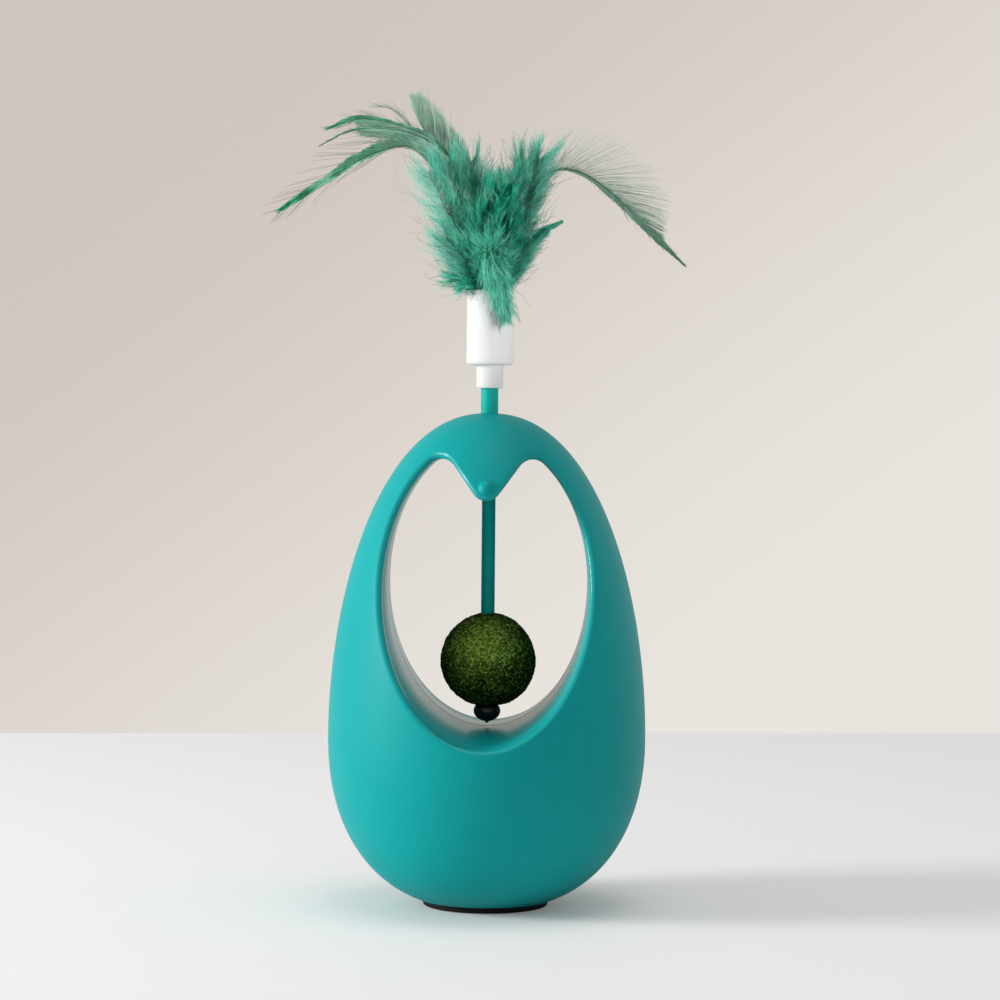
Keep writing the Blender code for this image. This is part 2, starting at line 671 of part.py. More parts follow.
def smooth_path(points, count):
    """Points evenly spread over a smooth curve through the given ones."""
    knots = [2 * points[0] - points[1], *points, 2 * points[-1] - points[-2]]
    dense = []
    for a, b, c, d in zip(knots, knots[1:], knots[2:], knots[3:]):
        for t in np.linspace(0, 1, FINE_STEPS, endpoint=False):
            bend = (2 * a - 5 * b + 4 * c - d) * t**2 + (3 * b - a - 3 * c + d) * t**3
            dense.append((2 * b + (c - a) * t + bend) / 2)
    dense = np.array(dense + [points[-1]])
    steps = np.linalg.norm(np.diff(dense, axis=0), axis=1)
    travel = np.concatenate([[0], np.cumsum(steps)]) / steps.sum()
    wanted = np.linspace(0, 1, count)
    return np.stack([np.interp(wanted, travel, dense[:, i]) for i in range(3)], axis=1)


def make_plume(name, look, spine_shares, width, depth, width_shares):
    """A feather as a swelling blade along its spine.

    The spine starts on the plug. Its points are shares of the bundle's reach, depth and rise
    above the cup's mouth. The half width and half depth swell from the quill by their shares.
    """
    scale = np.array([BUNDLE_REACH, BUNDLE_DEPTH, BUNDLE_RISE])
    points = [np.array(share) * scale + np.array([0, 0, CUP_MOUTH]) for share in spine_shares]
    foot = points[0].copy()
    foot[2] = PLUG_TOP + FIT_GAP
    spine = smooth_path([foot, *points], PLUME_RINGS)
    along = np.gradient(spine, axis=0)
    along[0] = (0, 0, 1)
    swell = np.interp(np.linspace(0, 1, PLUME_RINGS), np.linspace(0, 1, len(width_shares)), width_shares)
    rings = []
    for place, heading, share in zip(spine, along, swell.tolist()):
        tangent = Vector(heading).normalized()
        side = tangent.cross(Vector((0, 1, 0))).normalized()
        front = side.cross(tangent).normalized()
        half_width = QUILL_RADIUS + (width - QUILL_RADIUS) * share
        half_depth = QUILL_RADIUS + (depth - QUILL_RADIUS) * share
        ring = []
        for angle in np.linspace(0, 2 * math.pi, PLUME_SIDES, endpoint=False):
            across = half_width * math.cos(angle) * side
            ring.append(Vector(place) + across + half_depth * math.sin(angle) * front)
        rings.append(ring)
    mesh = lofted_mesh(name, rings)
    smooth(mesh)
    add_part(name, mesh, look)


# Spines of the feathers, as shares of the bundle's reach, depth and rise
LEFT_LONG_SHARES = (
    (-0.055, 0.20, 0.03),
    (-0.12, 0.50, 0.29),
    (-0.23, 0.62, 0.57),
    (-0.37, 0.62, 0.765),
    (-0.553, 0.58, 0.71),
    (-0.74, 0.55, 0.585),
    (-1.0, 0.50, 0.39),
)
LEFT_UPPER_SHARES = (
    (-0.038, 0.31, 0.03),
    (-0.075, 0.75, 0.43),
    (-0.165, 0.85, 0.68),
    (-0.30, 0.88, 0.83),
    (-0.45, 0.88, 0.885),
    (-0.62, 0.86, 0.86),
    (-0.80, 0.84, 0.78),
)
LEFT_CREST_SHARES = (
    (-0.010, 0.37, 0.03),
    (-0.05, 1.0, 0.35),
    (-0.15, 1.1, 0.62),
    (-0.26, 1.12, 0.82),
    (-0.335, 1.12, 0.985),
)
LEFT_WISP_SHARES = (
    (0.014, 0.38, 0.03),
    (-0.02, 1.2, 0.35),
    (-0.17, 1.35, 0.65),
    (-0.36, 1.38, 0.86),
    (-0.55, 1.38, 0.99),
)
RIGHT_LONG_SHARES = (
    (0.044, 0.28, 0.03),
    (0.085, 0.72, 0.23),
    (0.17, 0.85, 0.50),
    (0.285, 0.88, 0.675),
    (0.43, 0.86, 0.60),
    (0.62, 0.84, 0.45),
    (0.89, 0.82, 0.14),
)
RIGHT_SHORT_SHARES = (
    (0.062, -0.04, 0.03),
    (0.105, -0.30, 0.13),
    (0.175, -0.36, 0.26),
    (0.25, -0.36, 0.33),
    (0.345, -0.36, 0.36),
)
DOWN_LEFT_SHARES = (
    (-0.042, 0.02, 0.03),
    (-0.105, 0.08, 0.25),
    (-0.18, 0.08, 0.43),
    (-0.205, 0.06, 0.62),
    (-0.235, 0.06, 0.76),
    (-0.275, 0.06, 0.90),
)
DOWN_RIGHT_SHARES = (
    (0.026, 0.08, 0.03),
    (0.065, 0.16, 0.22),
    (0.125, 0.22, 0.45),
    (0.19, 0.26, 0.64),
    (0.245, 0.28, 0.77),
    (0.275, 0.28, 0.84),
)
DOWN_CENTRE_SHARES = (
    (-0.004, -0.12, 0.03),
    (-0.01, -0.38, 0.22),
    (-0.02, -0.46, 0.42),
    (0.01, -0.46, 0.58),
    (0.035, -0.46, 0.70),
)
DOWN_FRONT_SHARES = (
    (0.022, -0.34, 0.03),
    (0.01, -0.68, 0.10),
    (0.004, -0.90, 0.20),
    (0.025, -1.00, 0.10),
    (0.050, -1.00, -0.01),
    (0.062, -1.00, -0.10),
    (0.050, -0.98, -0.19),
)
DOWN_LOW_LEFT_SHARES = (
    (-0.036, -0.28, 0.02),
    (-0.075, -0.40, 0.075),
    (-0.14, -0.44, 0.095),
    (-0.22, -0.44, 0.085),
)

# How a feather swells along its spine, from the plug to the tip
NARROW_VANE_SHARES = (0.0, 0.1, 0.25, 0.5, 0.6, 0.8, 1.0, 0.9, 0.7, 0.1)
BROAD_VANE_SHARES = (0.0, 0.1, 0.3, 0.7, 1.0, 1.0, 0.9, 0.8, 0.6, 0.15)
BLUNT_VANE_SHARES = (0.0, 0.05, 0.15, 0.3, 0.5, 0.8, 1.0, 0.9, 0.4)
PLUME_SHARES = (0.0, 0.1, 0.5, 0.8, 1.0, 1.0, 0.95, 0.8, 0.5, 0.15)
HANGING_SHARES = (0.0, 0.05, 0.1, 0.3, 0.6, 0.9, 1.0, 0.8, 0.2)
TUFT_SHARES = (0.0, 0.1, 0.4, 0.9, 1.0, 0.8, 0.2)

# Half widths and half depths of the feathers
NARROW_HALF_WIDTH = 0.0020
BROAD_HALF_WIDTH = 0.0046
CREST_HALF_WIDTH = 0.0036
WISP_HALF_WIDTH = 0.0010
RIGHT_LONG_HALF_WIDTH = 0.0022
RIGHT_SHORT_HALF_WIDTH = 0.0030
RIGHT_SHORT_HALF_DEPTH = 0.0014
LEFT_DOWN_HALF_WIDTH = 0.0066
LEFT_DOWN_HALF_DEPTH = 0.0032
RIGHT_DOWN_HALF_WIDTH = 0.0058
RIGHT_DOWN_HALF_DEPTH = 0.0030
CENTRE_DOWN_HALF_WIDTH = 0.0044
CENTRE_DOWN_HALF_DEPTH = 0.0018
FRONT_DOWN_HALF_WIDTH = 0.0034
FRONT_DOWN_HALF_DEPTH = 0.0016
LOW_LEFT_HALF_WIDTH = 0.0020
LOW_LEFT_HALF_DEPTH = 0.0012


def make_feathers():
    vane = VANE_HALF_THICKNESS
    vanes = (
        ("plume_left_long", LEFT_LONG_SHARES, NARROW_HALF_WIDTH, NARROW_VANE_SHARES),
        ("plume_left_upper", LEFT_UPPER_SHARES, BROAD_HALF_WIDTH, BROAD_VANE_SHARES),
        ("plume_left_crest", LEFT_CREST_SHARES, CREST_HALF_WIDTH, BLUNT_VANE_SHARES),
        ("plume_left_wisp", LEFT_WISP_SHARES, WISP_HALF_WIDTH, BLUNT_VANE_SHARES),
        ("plume_right_long", RIGHT_LONG_SHARES, RIGHT_LONG_HALF_WIDTH, NARROW_VANE_SHARES),
    )
    for name, spine, width, swell in vanes:
        make_plume(name, FEATHER_GREEN, spine, width, vane, swell)
    short = (RIGHT_SHORT_HALF_WIDTH, RIGHT_SHORT_HALF_DEPTH)
    make_plume("plume_right_short", DOWN_GREEN, RIGHT_SHORT_SHARES, *short, TUFT_SHARES)
    left = (LEFT_DOWN_HALF_WIDTH, LEFT_DOWN_HALF_DEPTH)
    make_plume("down_left", DOWN_GREEN, DOWN_LEFT_SHARES, *left, PLUME_SHARES)
    right = (RIGHT_DOWN_HALF_WIDTH, RIGHT_DOWN_HALF_DEPTH)
    make_plume("down_right", DOWN_GREEN, DOWN_RIGHT_SHARES, *right, PLUME_SHARES)
    centre = (CENTRE_DOWN_HALF_WIDTH, CENTRE_DOWN_HALF_DEPTH)
    make_plume("down_centre", DOWN_GREEN, DOWN_CENTRE_SHARES, *centre, PLUME_SHARES)
    front = (FRONT_DOWN_HALF_WIDTH, FRONT_DOWN_HALF_DEPTH)
    make_plume("down_front", DOWN_GREEN, DOWN_FRONT_SHARES, *front, HANGING_SHARES)
    low = (LOW_LEFT_HALF_WIDTH, LOW_LEFT_HALF_DEPTH)
    make_plume("down_low_left", DOWN_GREEN, DOWN_LOW_LEFT_SHARES, *low, TUFT_SHARES)


clear_scene()
parts = new_collection(OBJECT_NAME)
cutters = new_collection("cutters")
make_shells()
make_foot()
make_counterweight()
make_screws()
make_pin()
make_rod()
make_bead()
make_ball()
make_stem()
make_cup()
make_feathers()
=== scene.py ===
"""Looks of the tumbler cat toy: a weighted egg with a window, a catnip ball and a feather top.

Metres, +Z up. The origin is the middle of the foot and the front is -Y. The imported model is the
fixed frame, and each piece here is made on it.
"""

import math
from typing import NamedTuple

import bmesh
import bpy
import numpy as np
from bpy.props import FloatProperty, FloatVectorProperty, IntProperty, PointerProperty
from bpy.types import Operator, Panel, PropertyGroup
from mathutils import Euler, Matrix, Vector, noise
from mathutils.geometry import delaunay_2d_cdt


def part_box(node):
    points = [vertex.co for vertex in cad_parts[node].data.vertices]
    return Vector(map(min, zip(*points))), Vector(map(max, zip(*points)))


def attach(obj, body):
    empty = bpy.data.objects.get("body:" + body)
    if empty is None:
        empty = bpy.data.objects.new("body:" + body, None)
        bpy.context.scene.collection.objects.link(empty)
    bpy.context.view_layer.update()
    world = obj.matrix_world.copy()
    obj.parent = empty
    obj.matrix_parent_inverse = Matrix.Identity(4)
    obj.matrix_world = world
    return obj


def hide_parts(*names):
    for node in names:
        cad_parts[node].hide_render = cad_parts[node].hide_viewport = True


bl_info = {
    "name": "Tumbler Cat Toy",
    "version": (1, 0, 0),
    "blender": (4, 5, 0),
    "location": "3D View > Sidebar > Cat Toy",
    "description": "Builds the pieces of a weighted tumbler cat toy with a catnip ball and feathers",
    "category": "Object",
}

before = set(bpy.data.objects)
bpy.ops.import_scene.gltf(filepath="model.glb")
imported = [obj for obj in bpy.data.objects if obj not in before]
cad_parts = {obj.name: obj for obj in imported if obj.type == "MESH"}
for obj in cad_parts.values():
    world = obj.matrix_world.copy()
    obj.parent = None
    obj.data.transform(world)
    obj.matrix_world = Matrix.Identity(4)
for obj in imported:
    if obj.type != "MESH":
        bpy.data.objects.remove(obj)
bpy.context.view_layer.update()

FLAT_HEIGHT, CROWN_HEIGHT = (corner.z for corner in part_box("front_shell"))
BEAD_LOW, BEAD_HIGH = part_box("stop_bead")
ROD_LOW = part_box("swing_rod")[0]
STEM_LOW, STEM_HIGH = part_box("feather_stem")
CUP_LOW, CUP_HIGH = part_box("feather_cup")
PAD_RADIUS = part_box("base_pad")[1].x
CORE_LOW, CORE_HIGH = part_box("ball_core")
PLUG_LOW, PLUG_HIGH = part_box("quill_plug")
SCREW_NODES = ("screw_upper_left", "screw_upper_right", "screw_lower_left", "screw_lower_right")

FRONT, REAR = 1, -1
MERGE_DISTANCE = 0.000002
HAIR_GAP = 0.0003
OVERSHOOT = 0.002
# Height of the point that the egg's skin is spread flat from, and the skin's mean distance to it
SKIN_MIDDLE = 0.060
SKIN_DISTANCE = 0.052
# Points along the skin's border above the foot, and rows over the window's rim and down its wall
BORDER_POINTS = 300
RIM_ROWS = 9
WALL_ROWS = 18
POLISH_ROWS = 11
SMOOTH_ANGLE = math.radians(32)
LEAF_ANGLE = math.radians(75)


# Sizes and colours that a user would change


LENGTH = (FloatProperty, {"min": 0, "subtype": "DISTANCE", "unit": "LENGTH", "precision": 5})
ANGLE = (FloatProperty, {"subtype": "ANGLE", "unit": "ROTATION"})
NUMBER = (FloatProperty, {"min": 0})
CHOICE = (IntProperty, {"min": 0})
COLOUR = (FloatVectorProperty, {"subtype": "COLOR", "size": 3, "min": 0, "max": 1})


def fields(kind, **rows):
    """Properties of one kind, each named after its key and given by its default and description."""
    make, options = kind
    return {
        key: make(name=key.replace("_", " ").capitalize(), default=value, description=text, **options)
        for key, (value, text) in rows.items()
    }


class EggSizes(PropertyGroup):
    __annotations__ = fields(
        LENGTH,
        belly_radius=(0.0419, "Largest radius of the egg"),
        belly_height=(0.0447, "Height of the largest radius"),
        crown_height=(CROWN_HEIGHT, "Height of the egg's top"),
        underrun=(0.0008, "How far the lower curve would run below the table"),
        flat_height=(FLAT_HEIGHT, "Height of the flat that the foot is fixed to"),
        facet=(0.00095, "Side of a triangle of the egg's skin"),
        seam_gap=(0.00001, "Half the gap between the two shells"),
        seam_round=(0.00025, "Radius of the shells' edges at the seam"),
    ) | fields(
        NUMBER,
        upper_inner=(1.92, "Power of the height in the upper curve"),
        upper_outer=(2.23, "Power of the radius in the upper curve"),
        lower_inner=(2.18, "Power of the height in the lower curve"),
        lower_outer=(2.49, "Power of the radius in the lower curve"),
    )


class WindowSizes(PropertyGroup):
    __annotations__ = fields(
        LENGTH,
        half_width=(0.0262, "Half the width of the window at the seam"),
        half_height=(0.0378, "Half the height of the window"),
        centre_height=(0.0849, "Height of the window's centre"),
        pivot_height=(0.1112, "Height of the pin that the rod hangs on"),
        nose_radius=(0.0039, "Radius of the drip's end"),
        arch_radius=(0.0040, "Radius of the corner beside the drip"),
        rim_round=(0.0011, "Radius of the window's outer edge"),
    ) | fields(
        ANGLE,
        draft=(math.radians(3.3), "How far the window's wall opens outwards"),
        flank_angle=(math.radians(36), "Slope of the drip's sides"),
    ) | fields(
        NUMBER,
        flare_power=(1.6, "How late the wall opens outwards"),
        side_flare=(0.42, "Share of the flare at the sides of the front opening"),
    )


class PendulumSizes(PropertyGroup):
    __annotations__ = fields(
        LENGTH,
        rod_radius=(0.0018, "Radius of the rod"),
        nib_radius=(0.0005, "Radius of the thin nib under the bead"),
        pin_radius=(0.0012, "Radius of the pivot pin"),
        pin_head_radius=(0.0024, "Radius of the domed heads of the pin"),
        pin_head_sink=(0.0012, "How far a head's centre lies below the egg's skin"),
        pin_head_drop=(0.0010, "How far the heads' middle lies below the pin's axis"),
        eye_radius=(0.0026, "Outer radius of the rod's eye"),
        eye_thickness=(0.0036, "Thickness of the rod's eye"),
        ball_radius=(0.0124, "Radius of the catnip ball"),
        ball_height=(0.0647, "Height of the ball's centre"),
        bead_half_height=(0.0028, "Half the height of the bead"),
        ball_lump=(0.0005, "How far the pressed ball leaves a true sphere"),
        grain=(0.00034, "Depth of the pressed leaf's grain"),
        fit_gap=(0.0003, "Gap between parts that move on each other"),
    ) | fields(ANGLE, swing=(math.radians(4), "How far the rod swings to each side"))


class TopSizes(PropertyGroup):
    __annotations__ = fields(
        LENGTH,
        stem_radius=(0.0023, "Radius of the stem"),
        flange_radius=(0.0038, "Radius of the stem's flange in the crown"),
        flange_thickness=(0.0016, "Thickness of that flange"),
        neck_radius=(0.0035, "Radius of the cup's neck"),
        neck_length=(0.0061, "Length of the cup's neck"),
        cup_radius=(0.0062, "Radius of the cup"),
        cup_wall=(0.0010, "Thickness of the cup's wall"),
        cup_round=(0.0010, "Radius of the cup's lower edge"),
    )


class FeatherSizes(PropertyGroup):
    __annotations__ = fields(
        LENGTH,
        reach=(0.0580, "How far the bundle reaches sideways"),
        depth=(0.0100, "How far the bundle reaches in depth"),
        rise=(0.0510, "How far the bundle rises above the cup"),
    ) | fields(
        NUMBER,
        thickness=(1.0, "Thickness of the barbs, as a share of the written one"),
        fullness=(1.0, "Number of barbs, as a share of the written one"),
    ) | fields(CHOICE, seed=(11, "Choice of the loose barbs"))


class Colours(PropertyGroup):
    __annotations__ = fields(
        COLOUR,
        shell=((0.0, 0.355, 0.36), "Teal of the egg"),
        rod=((0.0, 0.33, 0.30), "Dark teal of the rod"),
        stem=((0.0, 0.40, 0.355), "Teal of the stem"),
        bead=((0.001, 0.008, 0.006), "Green black of the bead"),
        rubber=((0.008, 0.009, 0.009), "Black of the foot"),
        leaf_dark=((0.008, 0.014, 0.001), "Dark flakes of the pressed leaf"),
        leaf_light=((0.22, 0.30, 0.045), "Light flakes of the pressed leaf"),
        cup=((0.72, 0.722, 0.72), "White of the cup"),
        steel=((0.56, 0.56, 0.55), "Grey of the screws and the weight"),
        resin=((0.60, 0.57, 0.48), "Pale resin of the plug and the tube"),
        # Painted shade: the colour at the vanes' barb roots, in the bundle's shaded depths.
        vane_dark=((0.002, 0.10, 0.055), "Depths of the dyed vanes"),
        vane_light=((0.02, 0.36, 0.17), "Lit barbs of the dyed vanes"),
        vane_pale=((0.62, 0.94, 0.78), "Thinly dyed barbs of the vanes"),
        # Painted shade: the colour at the down's barb roots, in the bundle's shaded depths.
        down_dark=((0.001, 0.11, 0.068), "Depths of the dyed down"),
        down_light=((0.055, 0.85, 0.60), "Lit barbs of the dyed down"),
        # Painted highlight: the mint that the down is paled to where the lamps light it.
        down_pale=((0.36, 0.99, 0.82), "Mint edges of the dyed down"),
        quill=((0.045, 0.075, 0.04), "Brown green of the quills and stray barbs"),
    )


class StageSettings(PropertyGroup):
    __annotations__ = fields(
        NUMBER,
        key_power=(18.2, "Power of the lamp at the left, in watts"),
        fill_power=(4.5, "Power of the lamp overhead, in watts"),
        cup_power=(11.5, "Power of the narrow lamp on the cup and stem, in watts"),
        feather_power=(5.5, "Power of the narrow lamp on the feathers, in watts"),
        sky_level=(0.39, "Strength of the pale light from all sides"),
        table_lift=(0.13, "How much paler the camera sees the table"),
        table_line=(733.0, "Height of the table's far edge in the picture, in thousandths from the top"),
        lens=(107.5, "Camera's focal length in mm"),
    ) | fields(
        COLOUR,
        # The backdrop's darker upper left is painted shade.
        backdrop_high=((0.63, 0.572, 0.522), "Backdrop at the upper left"),
        backdrop_low=((0.812, 0.776, 0.730), "Backdrop at the lower right"),
    )


class ToySettings(PropertyGroup):
    __annotations__ = {
        name: PointerProperty(type=group, name=name.capitalize(), description=text)
        for name, group, text in (
            ("egg", EggSizes, "Sizes of the egg"),
            ("window", WindowSizes, "Sizes of the window and the drip"),
            ("pendulum", PendulumSizes, "Sizes of the rod, pin, bead and ball"),
            ("top", TopSizes, "Sizes of the stem and the cup"),
            ("feathers", FeatherSizes, "Sizes of the feather bundle"),
            ("colours", Colours, "Colours of the finishes"),
            ("stage", StageSettings, "Lamps, backdrop and camera"),
        )
    }


# Nodes


class Wire:
    """A node's output that takes part in Python expressions."""

    def __init__(self, work, socket):
        self.work = work
        self.socket = socket

    def math(self, operation, *values, clamp=False):
        sockets = dict(enumerate(values))
        return self.work.node("ShaderNodeMath", {"operation": operation, "use_clamp": clamp}, sockets)

    def __add__(self, other):
        return self.math("ADD", self, other)

    def __sub__(self, other):
        return self.math("SUBTRACT", self, other)

    def __rsub__(self, other):
        return self.math("SUBTRACT", other, self)

    def __mul__(self, other):
        return self.math("MULTIPLY", self, other)

    def __truediv__(self, other):
        return self.math("DIVIDE", self, other)

    def __pow__(self, other):
        return self.math("POWER", self, other)

    __radd__ = __add__
    __rmul__ = __mul__

    def clamped(self):
        return self.math("ADD", self, 0.0, clamp=True)


class NodeWork:
    """Adds nodes to one tree."""

    def __init__(self, tree):
        self.tree = tree

    def node(self, kind, settings=None, sockets=None, output=0):
        """Adds a node. The output is a name, a place in the list or a tuple of them."""
        node = self.tree.nodes.new(kind)
        for key, value in (settings or {}).items():
            if key == "stops":
                self.set_stops(node.color_ramp, value)
            else:
                setattr(node, key, value)
        for key, value in (sockets or {}).items():
            self.feed(self.find(node.inputs, key), value)
        if output is None:
            return node
        if isinstance(output, tuple):
            return tuple(Wire(self, self.find(node.outputs, name)) for name in output)
        return Wire(self, self.find(node.outputs, output))

    @staticmethod
    def set_stops(ramp, stops):
        while len(ramp.elements) < len(stops):
            ramp.elements.new(1)
        for element, (place, colour) in zip(ramp.elements, stops):
            element.position = place
            element.color = (*colour, 1)

    @staticmethod
    def find(sockets, key):
        live = [socket for socket in sockets if socket.enabled]
        if isinstance(key, int):
            return live[key]
        return next(socket for socket in live if socket.name == key)

    def feed(self, socket, value):
        if isinstance(value, list):
            for item in value:
                self.tree.links.new(item.socket, socket)
        elif isinstance(value, Wire):
            self.tree.links.new(value.socket, socket)
        elif socket.type == "RGBA" and len(value) == 3:
            socket.default_value = (*value, 1)
        else:
            socket.default_value = value

    def mix(self, share, low, high):
        """A colour between two colours."""
        settings = {"data_type": "RGBA", "blend_type": "MIX"}
        return self.node("ShaderNodeMix", settings, {"Factor": share, "A": low, "B": high}, "Result")

    def vector(self, operation, *values):
        return self.node("ShaderNodeVectorMath", {"operation": operation}, dict(enumerate(values)))

    def combine(self, x, y, z):
        return self.node("ShaderNodeCombineXYZ", None, {"X": x, "Y": y, "Z": z})


class Finish(NodeWork):
    """A procedural material with one Principled shader."""

    def __init__(self, name, constants):
        self.material = bpy.data.materials.new(name)
        self.material.use_nodes = True
        super().__init__(self.material.node_tree)
        self.shader = self.tree.nodes["Principled BSDF"]
        for key, value in constants.items():
            self.feed(self.find(self.shader.inputs, key), value)
        self.place = self.node("ShaderNodeTexCoord", None, None, "Object")

    def grain(self, scale, detail=2.0, roughness=0.5):
        sockets = {"Vector": self.place, "Scale": scale, "Detail": detail, "Roughness": roughness}
        return self.node("ShaderNodeTexNoise", None, sockets)

    def cells(self, scale, output="Distance"):
        return self.node("ShaderNodeTexVoronoi", None, {"Vector": self.place, "Scale": scale}, output)

    def attribute(self, name):
        return self.node("ShaderNodeAttribute", {"attribute_name": name}, None, "Fac")

    def ramp(self, value, stops):
        return self.node("ShaderNodeValToRGB", {"stops": stops}, {"Fac": value}, "Color")

    def colour(self, value):
        self.feed(self.shader.inputs["Base Color"], value)

    def rough(self, value):
        self.feed(self.shader.inputs["Roughness"], value)

    def bump(self, height, distance, strength):
        sockets = {"Strength": strength, "Distance": distance, "Height": height}
        self.feed(self.shader.inputs["Normal"], self.node("ShaderNodeBump", None, sockets))

    def cover(self, colour, tone, shades, rough, bump):
        """Feed two shades of a colour, the roughness and the bump, and hand out the material."""
        self.colour(self.mix(tone, *(shade(colour, factor) for factor in shades)))
        self.rough(rough)
        self.bump(*bump)
        return self.material


def shade(colour, factor):
    return tuple(min(1.0, channel * factor) for channel in colour)


def shell_finish(name, colour, polish=0.0):
    """Satin moulded plastic: a fine tool texture, smoother on the window's wall."""
    work = Finish(name, {"IOR": 1.48, "Specular IOR Level": 0.15, "Coat Roughness": 0.14})
    cloud, fleck, wall = work.grain(34, 3), work.grain(900, 2), work.attribute("polish")
    work.feed(work.shader.inputs["Coat Weight"], work.attribute("rim") * 0.3)
    rough = 0.46 + cloud * 0.05 + (fleck - 0.5) * 0.04 - wall * 0.28 - polish
    texture = work.grain(2600, 2) + work.grain(420, 2) * 0.6
    return work.cover(colour, cloud, (0.93, 1.07), rough, (texture, 0.000012, 0.5))


def gloss_finish(name, colour, rough, shine=0.5):
    """Plain moulded gloss plastic with faint flow marks."""
    work = Finish(name, {"IOR": 1.5, "Specular IOR Level": shine})
    cloud = work.grain(90, 3)
    return work.cover(colour, cloud, (0.88, 1.12), rough + cloud * 0.08, (work.grain(700, 2), 0.000008, 0.5))


def rubber_finish(name, colour):
    """Matt rubber with a fine grain and dusty scuffs."""
    work = Finish(name, {"IOR": 1.5, "Specular IOR Level": 0.2})
    dust = work.grain(160, 4, 0.7)
    tone = (dust - 0.45) * 0.9
    return work.cover(colour, tone, (0.8, 1.8), 0.68 + dust * 0.2, (work.cells(1400), 0.00003, 0.6))


def steel_finish(name, colour):
    """Zinc plated steel: bright, with a faint crystalline cloud and turning marks."""
    work = Finish(name, {"Metallic": 1.0})
    cloud, streak = work.cells(900, "Color"), work.grain(1600, 2)
    tone = work.node("ShaderNodeSeparateColor", None, {"Color": cloud}, "Red")
    return work.cover(colour, tone, (0.8, 1.15), 0.26 + streak * 0.16, (streak, 0.00001, 0.4))


def leaf_finish(name, dark, light):
    """Pressed dry leaf: fine flakes of many greens, light crumbs and dark pits; painted highlight and shade."""
    work = Finish(name, {"IOR": 1.4, "Specular IOR Level": 0.08})
    flake = work.cells(2300, "Color")
    tone = work.node("ShaderNodeSeparateColor", None, {"Color": flake}, ("Red", "Green"))
    crumb = work.grain(1500, 4, 0.75)
    cloud = work.grain(170, 3)
    # Painted highlight: lighter towards the ball's front upper left, with painted shade darker away from it.
    rubbed = work.attribute("rubbed")
    pick = ((tone[0] ** 2.4) * 0.8 + (crumb - 0.42) * 1.5 + (cloud - 0.5) * 0.5 + rubbed * 0.75 - 0.32).clamped()
    middle = tuple(0.72 * low + 0.28 * high for low, high in zip(dark, light))
    colour = work.ramp(pick, ((0.0, dark), (0.42, middle), (0.8, light), (1.0, shade(light, 1.7))))
    work.colour(colour)
    work.rough(0.84 + tone[1] * 0.12)
    work.bump(crumb + work.cells(1700), 0.0002, 0.9)
    return work.material


def cup_finish(name, colour):
    """White gloss plastic with faint moulding clouds."""
    scatter = {"Subsurface Weight": 0.12, "Subsurface Radius": (1.0, 1.0, 1.0), "Subsurface Scale": 0.002}
    work = Finish(name, {"IOR": 1.5, "Specular IOR Level": 0.15, **scatter})
    cloud = work.grain(120, 3)
    return work.cover(colour, cloud, (0.96, 1.03), 0.34 + cloud * 0.1, (work.grain(1200, 2), 0.00001, 0.4))


def resin_finish(name, colour):
    """Dull cast resin with specks."""
    work = Finish(name, {"IOR": 1.5})
    speck = work.grain(900, 4, 0.7)
    return work.cover(colour, speck, (0.75, 1.1), 0.36 + speck * 0.2, (speck, 0.00004, 0.5))


def feather_finish(name, dark, light, pale, quill):
    """Dyed feather: each barb has its own shade, darker in its strays; painted shade darkens it at its root and a
    painted glow turns it mint at its tip.
    """
    work = Finish(name, {"IOR": 1.45, "Specular IOR Level": 0.08})
    tone = work.attribute("shade")
    along = work.attribute("along")
    stray = work.attribute("stray")
    patch = work.grain(260, 3)
    # Painted shade and glow: darker towards each barb's root, where the bundle's depths are shaded, and mint towards
    # its tip as if lit through.
    pick = (tone * 0.36 + along * 0.6 + (patch - 0.5) * 2.0 - 0.08).clamped()
    painted_glow = tuple(0.6 * channel + 0.4 * level for channel, level in zip(light, (0.80, 0.98, 0.90)))
    dye_with_painted_light = work.ramp(pick, ((0.0, dark), (0.27, shade(light, 0.6)), (0.58, light), (0.92, painted_glow)))
    # The pale mix is the vanes' thin dye, and on the down a painted highlight where the lamps light it.
    paled_and_highlit = work.mix(work.attribute("tint"), dye_with_painted_light, pale)
    downy = work.attribute("downy")
    work.colour(work.mix(stray * (0.8 - downy * 0.62), paled_and_highlit, quill))
    work.rough(0.62 + tone * 0.2)
    work.bump(work.grain(3800, 2), 0.00002, 0.4)
    soft = work.attribute("soft")
    sheer = soft * 0.62 + downy * along * 0.15 + work.attribute("tint") * (1.0 - downy) * 0.4
    work.feed(work.shader.inputs["Alpha"], (1.0 - sheer).clamped())
    return work.material


# Meshes


def new_object(name, data, finish=None):
    obj = bpy.data.objects.new(name, data)
    bpy.context.scene.collection.objects.link(obj)
    if finish:
        data.materials.append(finish)
    return obj


def place_piece(obj, body, slot, *nodes):
    """Hand a finished piece to the frame."""
    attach(obj, body)
    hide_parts(*nodes)


def finish_node(name, finish):
    """Give a CAD node that stays as it is its finish."""
    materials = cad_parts[name].data.materials
    materials.clear()
    materials.append(finish)


def finished_mesh(name, solid, angle=SMOOTH_ANGLE):
    bmesh.ops.remove_doubles(solid, verts=solid.verts, dist=MERGE_DISTANCE)
    bmesh.ops.recalc_face_normals(solid, faces=solid.faces)
    mesh = bpy.data.meshes.new(name)
    solid.to_mesh(mesh)
    solid.free()
    mesh.shade_smooth()
    mesh.set_sharp_from_angle(angle=angle)
    return mesh


